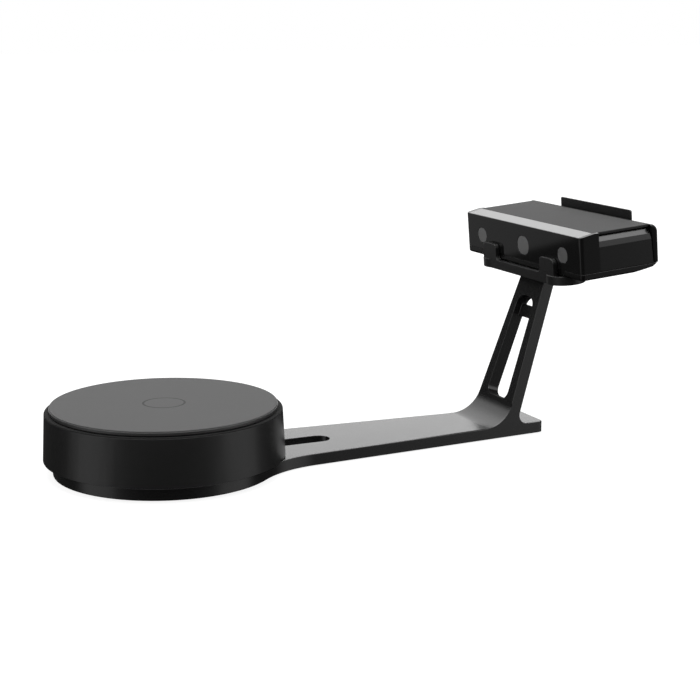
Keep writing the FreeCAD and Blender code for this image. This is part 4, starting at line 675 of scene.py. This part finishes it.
def joined(*meshes):
    """Several meshes as one."""
    work = bmesh.new()
    for mesh in meshes:
        work.from_mesh(mesh)
    result = bpy.data.meshes.new("joined")
    work.to_mesh(result)
    work.free()
    for face in result.polygons:
        face.use_smooth = True
    return result


def placed(mesh, matrix):
    mesh.transform(matrix)
    return mesh


# ------------------------------------ trees for what repeats
def new_tree(name, sizes):
    """A Geometry Nodes tree that takes places, named sizes and a finish."""
    tree = bpy.data.node_groups.new(name, "GeometryNodeTree")
    sockets = tree.interface
    sockets.new_socket("Places", in_out="INPUT", socket_type="NodeSocketGeometry")
    for label, value in sizes.items():
        kind = "NodeSocketInt" if isinstance(value, int) else "NodeSocketFloat"
        sockets.new_socket(label, in_out="INPUT", socket_type=kind).default_value = value
    sockets.new_socket("Finish", in_out="INPUT", socket_type="NodeSocketMaterial")
    sockets.new_socket("Made", in_out="OUTPUT", socket_type="NodeSocketGeometry")
    return tree, tree.nodes.new("NodeGroupInput").outputs, tree.nodes.new("NodeGroupOutput").inputs


def copied(tree, places, shape):
    return add(tree, "GeometryNodeInstanceOnPoints", {"Points": places,
                                                      "Instance": shape}).outputs[0]


def end_tree(tree, given, made, shape):
    """The shape on every place, made real, with its finish."""
    real = add(tree, "GeometryNodeRealizeInstances",
               {"Geometry": copied(tree, given["Places"], shape)})
    done = add(tree, "GeometryNodeSetMaterial", {"Geometry": real.outputs[0],
                                                 "Material": given["Finish"]})
    tree.links.new(done.outputs[0], made["Made"])
    return tree


def bar(tree, vertices, radius, length, top, rings=1):
    """A closed round or many-sided bar whose upper end is at a height."""
    made = add(tree, "GeometryNodeMeshCylinder", {"Vertices": vertices, "Side Segments": rings,
                                                  "Radius": radius, "Depth": length})
    drop = maths(tree, "SUBTRACT", top, times(tree, length, 0.5))
    return add(tree, "GeometryNodeTransform", {"Geometry": made.outputs["Mesh"],
                                               "Translation": vector_of(tree, Z=drop)}).outputs[0]


def point_place(tree):
    return add(tree, "GeometryNodeInputPosition").outputs[0]


def reshaped(tree, shape, place, chosen=True):
    """The shape with all its points, or the chosen ones, put at a new place."""
    return add(tree, "GeometryNodeSetPosition", {"Geometry": shape, "Selection": chosen,
                                                 "Position": place}).outputs[0]


def narrowed(tree, shape, above, factor):
    """The shape with its points above a height drawn in to the middle."""
    spot = point_place(tree)
    chosen = maths(tree, "GREATER_THAN", part_of(tree, spot, "Z"), above)
    return reshaped(tree, shape, vectors(tree, "MULTIPLY", spot, (factor, factor, 1)), chosen)


def cut_from(tree, shape, tool):
    return add(tree, "GeometryNodeMeshBoolean", {0: shape, 1: tool}, operation="DIFFERENCE",
               solver="EXACT").outputs[0]


JUST_UNDER = -0.00001       # metres, so that the points of a bar's end count as above it


def socket_screw_tree():
    """Screw with a chamfered head, a six-sided socket and a threaded shank, head upwards."""
    tree, given, made = new_tree("socket_screws", {
        "Head Radius": 0.0036, "Head Height": 0.0024, "Key Radius": 0.0017,
        "Key Depth": 0.0014, "Shank Radius": 0.0019, "Shank Length": 0.019,
        "Thread Rings": 40, "Thread Depth": 0.00016, "Thread Pitch": 0.0007})
    head = bar(tree, 40, given["Head Radius"], given["Head Height"], 0.0, rings=4)
    head = narrowed(tree, head, JUST_UNDER, 0.92)
    key = bar(tree, 6, given["Key Radius"], times(tree, given["Key Depth"], 2.0),
              given["Key Depth"])
    head = cut_from(tree, head, key)
    under = times(tree, given["Head Height"], -0.98)
    shank = bar(tree, 20, given["Shank Radius"], given["Shank Length"], under,
                rings=given["Thread Rings"])
    spot = point_place(tree)
    turns = times(tree, maths(tree, "DIVIDE", part_of(tree, spot, "Z"), given["Thread Pitch"]),
                  2 * math.pi)
    wave = maths(tree, "SUBTRACT", maths(tree, "SINE", turns), 1.0)
    depth = maths(tree, "DIVIDE", given["Thread Depth"], given["Shank Radius"])
    factor = multiply_add(tree, wave, times(tree, depth, 0.5), 1.0)
    grip = vector_of(tree, X=factor, Y=factor, Z=1.0)
    shank = reshaped(tree, shank, vectors(tree, "MULTIPLY", spot, grip))
    both = add(tree, "GeometryNodeJoinGeometry")
    tree.links.new(shank, both.inputs[0])
    tree.links.new(head, both.inputs[0])
    return end_tree(tree, given, made, both.outputs[0])


def contact_pin_tree():
    """Slim pin with a narrowed tip, standing up from its place."""
    tree, given, made = new_tree("contact_pins", {"Sides": 12, "Radius": 0.00045,
                                                  "Length": 0.006})
    pin = bar(tree, given["Sides"], given["Radius"], given["Length"], given["Length"], rings=12)
    tip = narrowed(tree, pin, times(tree, given["Length"], 0.99), 0.55)
    return end_tree(tree, given, made, tip)


def ringed_foot_tree():
    """Round rubber foot with a ring groove in its sole, sole upwards."""
    tree, given, made = new_tree("ringed_feet", {
        "Radius": 0.009, "Height": 0.0018, "Groove Radius": 0.006, "Groove Width": 0.0008,
        "Groove Depth": 0.0005})
    foot = bar(tree, 64, given["Radius"], given["Height"], 0.0, rings=6)
    foot = narrowed(tree, foot, JUST_UNDER, 0.97)
    deep = times(tree, given["Groove Depth"], 2.0)
    outer = bar(tree, 64, maths(tree, "ADD", given["Groove Radius"], given["Groove Width"]),
                deep, given["Groove Depth"])
    inner = bar(tree, 64, given["Groove Radius"], times(tree, deep, 2.0), deep)
    groove = cut_from(tree, outer, inner)
    return end_tree(tree, given, made, cut_from(tree, foot, groove))


CORNER_SHARE = 0.24         # of the width squared: x times y is more at a sheet's corners only


def sheet_stack_tree():
    """Stack of thin square sheets with cut corners, up from its place."""
    tree, given, made = new_tree("sheet_stack", {
        "Count": 16, "Pitch": 0.0008, "Sheet": 0.00055, "Width": 0.0424, "Corner": 0.9})
    width = given["Width"]
    extent = vector_of(tree, X=width, Y=width, Z=given["Sheet"])
    plate = add(tree, "GeometryNodeMeshCube", {"Size": extent, "Vertices X": 4,
                                               "Vertices Y": 4}).outputs["Mesh"]
    spot = point_place(tree)
    product = times(tree, part_of(tree, spot, "X"), part_of(tree, spot, "Y"))
    corner = maths(tree, "GREATER_THAN", maths(tree, "ABSOLUTE", product),
                  times(tree, times(tree, width, width), CORNER_SHARE))
    pull = vector_of(tree, X=given["Corner"], Y=given["Corner"], Z=1.0)
    plate = reshaped(tree, plate, vectors(tree, "MULTIPLY", spot, pull), corner)
    step = vector_of(tree, Z=given["Pitch"])
    line = add(tree, "GeometryNodeMeshLine", {"Count": given["Count"], "Offset": step})
    return end_tree(tree, given, made, copied(tree, line.outputs[0], plate))


def ball_tree():
    """Steel ball on each place."""
    tree, given, made = new_tree("bearing_balls", {"Radius": 0.0022})
    ball = add(tree, "GeometryNodeMeshIcoSphere", {"Radius": given["Radius"],
                                                   "Subdivisions": 3}).outputs["Mesh"]
    smooth = add(tree, "GeometryNodeSetShadeSmooth", {0: ball}).outputs[0]
    return end_tree(tree, given, made, smooth)


SCREWS = socket_screw_tree()
PINS = contact_pin_tree()
SOLES = ringed_foot_tree()
SHEETS = sheet_stack_tree()
BALLS = ball_tree()


def grown(tree, places, finish, **sizes):
    """The plain mesh that a tree makes on a list of places in mm."""
    mesh = bpy.data.meshes.new(tree.name)
    mesh.from_pydata([Vector(place) * MM for place in places], [], [])
    work = bpy.data.objects.new(tree.name, mesh)
    scene.collection.objects.link(work)
    made = work.modifiers.new("tree", "NODES")
    made.node_group = tree
    for socket in tree.interface.items_tree:
        key = socket.name.lower().replace(" ", "_")
        if key in sizes:
            value = sizes[key]
            made[socket.identifier] = value if isinstance(value, int) else value * MM
        elif socket.name == "Finish":
            made[socket.identifier] = finish
    return evaluated(work)


def ring(count, radius, height=0.0, first=0.0):
    """Evenly spaced places on a circle."""
    angles = [math.radians(first + 360 * i / count) for i in range(count)]
    return [(radius * math.cos(a), radius * math.sin(a), height) for a in angles]


# ------------------------------------ screws
MOTOR_X = -60               # mm
# As shares of the head's radius, the head's height, and the shank's radius twice.
KEY_RADIUS, KEY_DEPTH, THREAD_PITCH, THREAD_DEPTH = 0.50, 0.55, 0.36, 0.12
RINGS_PER_TURN = 4

# node: (frame, places of the heads' outer faces, outwards down, head radius, head height,
#        shank radius, shank length)
SCREW_SETS = {
    "turntable_screws": (ROW, ring(4, 70, 2.0, 45), True, 3.6, 2.4, 1.9, 19.2),
    "housing_screws": (ROW, ring(4, 86, 13.6, 45), True, 2.6, 1.4, 1.4, 8.6),
    "platter_screws": (ROW, ring(3, 12, 58.8, 90), False, 2.6, 1.4, 1.4, 4.6),
    "motor_screws": (ROW, [(MOTOR_X + i * 15.5, j * 15.5, 42.3) for i in (-1, 1)
                           for j in (-1, 1)], False, 2.6, 1.0, 1.4, 5.0),
    "turntable_board_screws": (ROW, [(i * 25.8, y, 23.4) for i in (-1, 1)
                                     for y in (66.511, 90.111)], False, 2.6, 1.4, 1.4, 4.4),
    "head_screws": (HEAD, [(x, y, 0.6) for x in (15, 53) for y in (-52, 52)], True,
                    2.6, 1.4, 1.4, 5.4),
    "cradle_screws": (HEAD, [(19.50, y, -0.2) for y in (-11, 11)], False,
                      4.4, 3.0, 2.4, 14.3),
}


def screw_mesh(places, down, head, high, shank, length, finish):
    """Screws with their heads' outer faces at the places."""
    flip = UPSIDE_DOWN if down else ROW
    local = [tuple(flip @ Vector(place)) for place in places]
    pitch = THREAD_PITCH * shank
    mesh = grown(SCREWS, local, finish, head_radius=head, head_height=high,
                 key_radius=KEY_RADIUS * head, key_depth=KEY_DEPTH * high, shank_radius=shank,
                 shank_length=length, thread_rings=int(RINGS_PER_TURN * length / pitch),
                 thread_depth=THREAD_DEPTH * shank, thread_pitch=pitch)
    return placed(mesh, flip)


for node, (place, heads, *sizes) in SCREW_SETS.items():
    slot = NODE_SLOT[node]
    made = placed(screw_mesh(heads, *sizes, FINISHES[slot]), place)
    as_piece(node + "_made", made, NODE_BODY[node], slot, node)

# ------------------------------------ under the stand
SOLE_PLACES = ring(4, 82, 0.0, 22.5) + [(0.0, 0.0, 0.0)]
soles = grown(SOLES, [(x, -y, z) for x, y, z in SOLE_PLACES], FINISHES["foot_rubber"],
              radius=9.0, height=1.8, groove_radius=5.6, groove_width=0.9, groove_depth=0.5)
as_piece("base_feet_made", placed(soles, UPSIDE_DOWN), NODE_BODY["base_feet"], "foot_rubber",
         "base_feet")


# ------------------------------------ painted shade of the mat's centre groove
# A thin dark ring at the mat's face that paints the shade of its centre ring groove.
GROOVE_SHADE_INNER, GROOVE_SHADE_OUTER, GROOVE_SHADE_LOW, GROOVE_SHADE_HIGH = 17.0, 18.9, 59.80, 60.03      # mm
groove_shade = turned([(GROOVE_SHADE_INNER, GROOVE_SHADE_LOW), (GROOVE_SHADE_OUTER, GROOVE_SHADE_LOW), (GROOVE_SHADE_OUTER, GROOVE_SHADE_HIGH),
               (GROOVE_SHADE_INNER, GROOVE_SHADE_HIGH)], 128)
as_piece("centre_mark_inlay", groove_shade, "turning_platter", "grip_rubber",
         material=finish_material("dark_mark_rubber", grey(48), 0.8, specular=0.1))


# ------------------------------------ bearings and motor
BEARING_HEIGHT = 8.0        # mm


def bearing(node, low):
    """Open ball bearing: two grooved races, a cage and its balls."""
    high, middle = low + BEARING_HEIGHT, low + BEARING_HEIGHT / 2
    inner = [(6.05, low), (8.0, low), (8.0, middle - 2.0), (7.5, middle), (8.0, middle + 2.0),
             (8.0, high), (6.05, high)]
    outer = [(12.0, low), (14.0, low), (14.0, high), (12.0, high), (12.0, middle + 2.0),
             (12.5, middle), (12.0, middle - 2.0)]
    cage = [(9.3, middle - 1.2), (10.7, middle - 1.2), (10.7, middle + 1.2),
            (9.3, middle + 1.2)]
    races = joined(*(turned(profile, 72) for profile in (inner, outer, cage)))
    as_piece(node + "_made", rounded(races, 0.12), NODE_BODY[node], NODE_SLOT[node], node)
    balls = grown(BALLS, ring(9, 10.0, middle), FINISHES["steel"], radius=2.35)
    as_piece(node + "_balls", balls, NODE_BODY[node], NODE_SLOT[node])


bearing("lower_bearing", 18.6)
bearing("upper_bearing", 32.6)
stack = grown(SHEETS, [(MOTOR_X, 0, 23.4)], BARE_STEEL, count=16, pitch=0.8, sheet=0.55,
              width=42.5)
as_piece("motor_sheet_stack", stack, NODE_BODY["stepper_motor"], "steel", material=BARE_STEEL)


# ------------------------------------ sockets and the button
SOCKET_FLOOR = 73.9         # mm behind the head's front face


def at_back(x, across):
    """A frame at the back of the head that looks backwards."""
    return HEAD @ moved(x, across, AXIS_HEIGHT) @ TO_REAR


def pins_in(name, body, place, radius, length, places, finish=GOLD, slot="insert_brass"):
    """Contact pins inside a socket, standing out from its floor."""
    made = grown(PINS, places, finish, sides=16, radius=radius, length=length)
    as_piece(name, placed(made, place), body, slot, material=finish)


CABLE_PINS = ring(6, 2.7, 0.0, 30) + [(0.0, 0.0, 0.0)]
pins_in("turntable_port_pins", "scan_head", at_back(SOCKET_FLOOR, -19),
        0.42, 6.0, CABLE_PINS)
pins_in("turntable_socket_pins", "stand", moved(0, 94.2, 28.0) @ TO_LEFT, 0.42, 6.0,
        CABLE_PINS)
pins_in("power_inlet_pin", "scan_head", at_back(SOCKET_FLOOR, 19),
        1.08, 8.2, [(0.0, 0.0, 0.0)], FINISHES["steel"], "steel")

tongue = blocks([(78.2, 0, 18.65, 8.6, 5.8, 3.3)], 0.3)
as_piece("data_socket_tongue", placed(tongue, HEAD), "scan_head", "socket_black")
contacts = blocks([(78.6, y, z, 6.4, 0.9, 0.14) for y in (-1.3, 1.3)
                   for z in (18.55, 21.90)], 0.04)
as_piece("data_socket_contacts", placed(contacts, HEAD), "scan_head", "insert_brass",
         material=GOLD)
latches = blocks([(79.4, i * 4.13, 19.2, 5.0, 0.25, 2.2) for i in (-1, 1)], 0.1)
as_piece("data_socket_latches", placed(latches, HEAD), "scan_head", "usb_shell")

button = turned([(0, 79.4), (5.9, 79.4), (5.9, 80.5), (4.5, 80.5), (4.5, 82.75), (4.3, 83.02),
                 (3.9, 83.1), (3.6, 83.04), (2.4, 82.78), (1.2, 82.66), (0, 82.62)], 72)
as_piece("power_button_made", placed(rounded(button, 0.08), at_back(0, 38)),
         NODE_BODY["power_button"], "button_plastic", "power_button")


# ------------------------------------ optics
def lens_glass(name, across, radius, length):
    """Curved front element in a barrel's dished front, with a ring of fine grip ribs round it."""
    floor = length / 6
    rim, top, bulge = 0.74 * radius, -0.45 * floor, 1.35 * floor
    dome = [(0, top)] + [(rim * math.sin(a), top + bulge * (math.cos(a) - 1) * -0.6)
                         for a in (math.radians(9 * i) for i in range(1, 10))]
    profile = [(r, -h) for r, h in dome] + [(rim, -floor), (0, -floor)]
    glass = turned(profile, 48)
    place = HEAD @ moved(4.0, across, AXIS_HEIGHT) @ TO_FRONT
    as_piece(name, placed(rounded(glass, 0.05), place), "scan_head", "window_glass",
             material=LENS_GLASS)
    ribs = grown(PINS, ring(48, radius + 0.9, -length + 0.6), FINISHES["lens_barrel"],
                 sides=8, radius=0.32, length=length / 2 - 1.2)
    as_piece(name.replace("glass", "grip_ribs"), placed(ribs, place), "scan_head",
             "lens_barrel")


lens_glass("camera_left_glass", CAMERA_ACROSS, 5.6, 10.0)
lens_glass("camera_right_glass", -CAMERA_ACROSS, 5.6, 10.0)
lens_glass("projector_glass", PROJECTOR_ACROSS, 7.6, 13.0)


# ------------------------------------ circuit boards
LEAD_PITCH = 1.27           # mm


def board_parts(name, place, body, chips, cans, plugs, pin_rows):
    """Parts on a circuit board, whose upper face is z = 0 in its own frame. Chips and plugs
    are (x, y, length, width, height), cans (x, y, radius, height), in mm."""
    resin = blocks([(x, y, 0, a, b, h) for x, y, a, b, h in chips], 0.12)
    as_piece(name + "_chips", placed(resin, place), body, "socket_black", material=CHIP_RESIN)
    legs = []
    for x, y, a, b, h in chips:
        for side in (-1, 1):
            count = max(2, int(a / LEAD_PITCH))
            legs += [(x + (i - (count - 1) / 2) * LEAD_PITCH, y + side * (b / 2 + 0.3), 0.02,
                      0.4, 0.9, 0.25) for i in range(count)]
    as_piece(name + "_leads", placed(blocks(legs, 0.04), place), body, "steel",
             material=GOLD)
    tubs = [placed(turned([(0, 0), (r, 0), (r, 0.6), (0.93 * r, 0.9), (r, 1.2),
                           (r, h - 0.3), (0.92 * r, h), (0.75 * r, h - 0.08), (0, h - 0.08)],
                          32), moved(x, y, 0)) for x, y, r, h in cans]
    as_piece(name + "_cans", placed(joined(*tubs), place), body, "sink_alu")
    shells = blocks([(x, y, 0, a, b, h) for x, y, a, b, h in plugs], 0.3)
    as_piece(name + "_plugs", placed(shells, place), body, "socket_black",
             material=CONNECTOR_WHITE)
    pins = grown(PINS, pin_rows, GOLD, sides=4, radius=0.4, length=6.2)
    as_piece(name + "_pins", placed(pins, place), body, "insert_brass", material=GOLD)


def pin_row(x, y, count, pitch=2.5):
    return [(x + (i - (count - 1) / 2) * pitch, y, 0.0) for i in range(count)]


board_parts("turntable_board", moved(0, 0, 22.0), "stand",
            chips=[(-3, 74, 10, 10, 1.2), (14, 70, 5, 4, 1.0), (15, 80, 5, 4, 1.0),
                   (-15, 66, 5, 3.6, 1.0)],
            cans=[(-17, 78, 4.0, 7.5), (22, 78, 3.2, 6.5)],
            plugs=[(0, 64, 12.5, 4.6, 4.5)],
            pin_rows=pin_row(0, 64, 4))
# Upright: the board's front face looks to the head's front, its local x runs across the head.
MAIN_BOARD_FRONT = HEAD @ moved(69.0, 0, 0) @ Matrix(((0, 0, -1, 0), (1, 0, 0, 0),
                                                      (0, -1, 0, 0), (0, 0, 0, 1)))
board_parts("main_board", MAIN_BOARD_FRONT, "scan_head",
            chips=[(0, -24, 13, 13, 1.3), (18, -18, 8, 8, 1.1), (18, -30, 7, 5, 1.0),
                   (-10, -13, 5, 4, 1.0), (33, -26, 6, 5, 1.0)],
            cans=[(37, -14, 2.6, 5.0), (37, -33, 2.6, 5.0)],
            plugs=[(27, -12, 10, 4.0, 4.0), (3, -12, 10, 4.0, 4.0)],
            pin_rows=pin_row(27, -12, 3) + pin_row(3, -12, 3))

for side, across in (("left", CAMERA_ACROSS), ("right", -CAMERA_ACROSS)):
    board = blocks([(36.7, across, 8.4, 1.2, 24.0, 23.6)], 0.1)
    as_piece("camera_board_" + side, placed(board, HEAD), "scan_head", "board_green")
    parts = blocks([(38.0, across, 16.0, 1.4, 9.0, 9.0), (38.6, across, 28.0, 2.6, 12.0, 3.0),
                    (37.8, across - 8, 12.0, 1.0, 3.0, 4.0),
                    (37.8, across + 8, 12.0, 1.0, 3.0, 4.0)], 0.15)
    as_piece("camera_board_parts_" + side, placed(parts, HEAD), "scan_head", "socket_black",
             material=CHIP_RESIN)
lid_screws = screw_mesh([(x, y, 33.4) for x in (21.5, 56.5) for y in (-23.7, 15.3)], False,
                        2.2, 1.0, 1.2, 4.0, FINISHES["steel"])
as_piece("projector_case_screws", placed(lid_screws, HEAD), "scan_head", "steel")

# ------------------------------------ all other nodes
# A node that isn't listed has the usual value. Edges and reach are in mm, folds in degrees.
USUAL_EDGE, USUAL_REACH, USUAL_FOLD = 0.25, 0.002, 32
WELD_REACH = {"stand_casting": 0.08}
FOLD_ANGLE = {"side_panel_left": 10, "side_panel_right": 10}
EDGE_WIDTH = {"stand_casting": 0.5, "head_cradle": 0.35, "turntable_housing": 0.35,
              "rear_cap": 0.35, "drive_gear": 0.1, "drive_pinion": 0.1, "fan_rotor": 0.1,
              "fan_frame": 0.15, "heat_sink": 0.15, "usb_socket": 0.12, "main_board": 0.1,
              "turntable_board": 0.1, "power_inlet": 0.15, "turntable_port": 0.2}
# Painted shade: a dull black finish on the top of the drum's wall and the floor of the column's
# slot.
SHADE_PAINTED_PLACES = {"turntable_housing": lambda x, y, z, up: z > 54.5,
               "stand_casting": lambda x, y, z, up: 325 < x < 343 and 28 < z < 37 and up > 0.2}
stood_for = {n for o in scene.objects for n in o.get("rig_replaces", [])}
for node in frame["nodes"]:
    if node not in stood_for:
        shape = rounded(merged_copy(node, WELD_REACH.get(node, USUAL_REACH)),
                        EDGE_WIDTH.get(node, USUAL_EDGE), FOLD_ANGLE.get(node, USUAL_FOLD))
        as_piece(node + "_made", shape, NODE_BODY[node], NODE_SLOT[node], node)
        # Painted shade: the chosen faces get the dull black finish.
        if node in SHADE_PAINTED_PLACES:
            shape.materials.append(SHADE_PAINTED_BLACK)
            for face in shape.polygons:
                corners = [shape.vertices[v].co / MM for v in face.vertices]
                if all(SHADE_PAINTED_PLACES[node](*corner, face.normal.z) for corner in corners):
                    face.material_index = 1
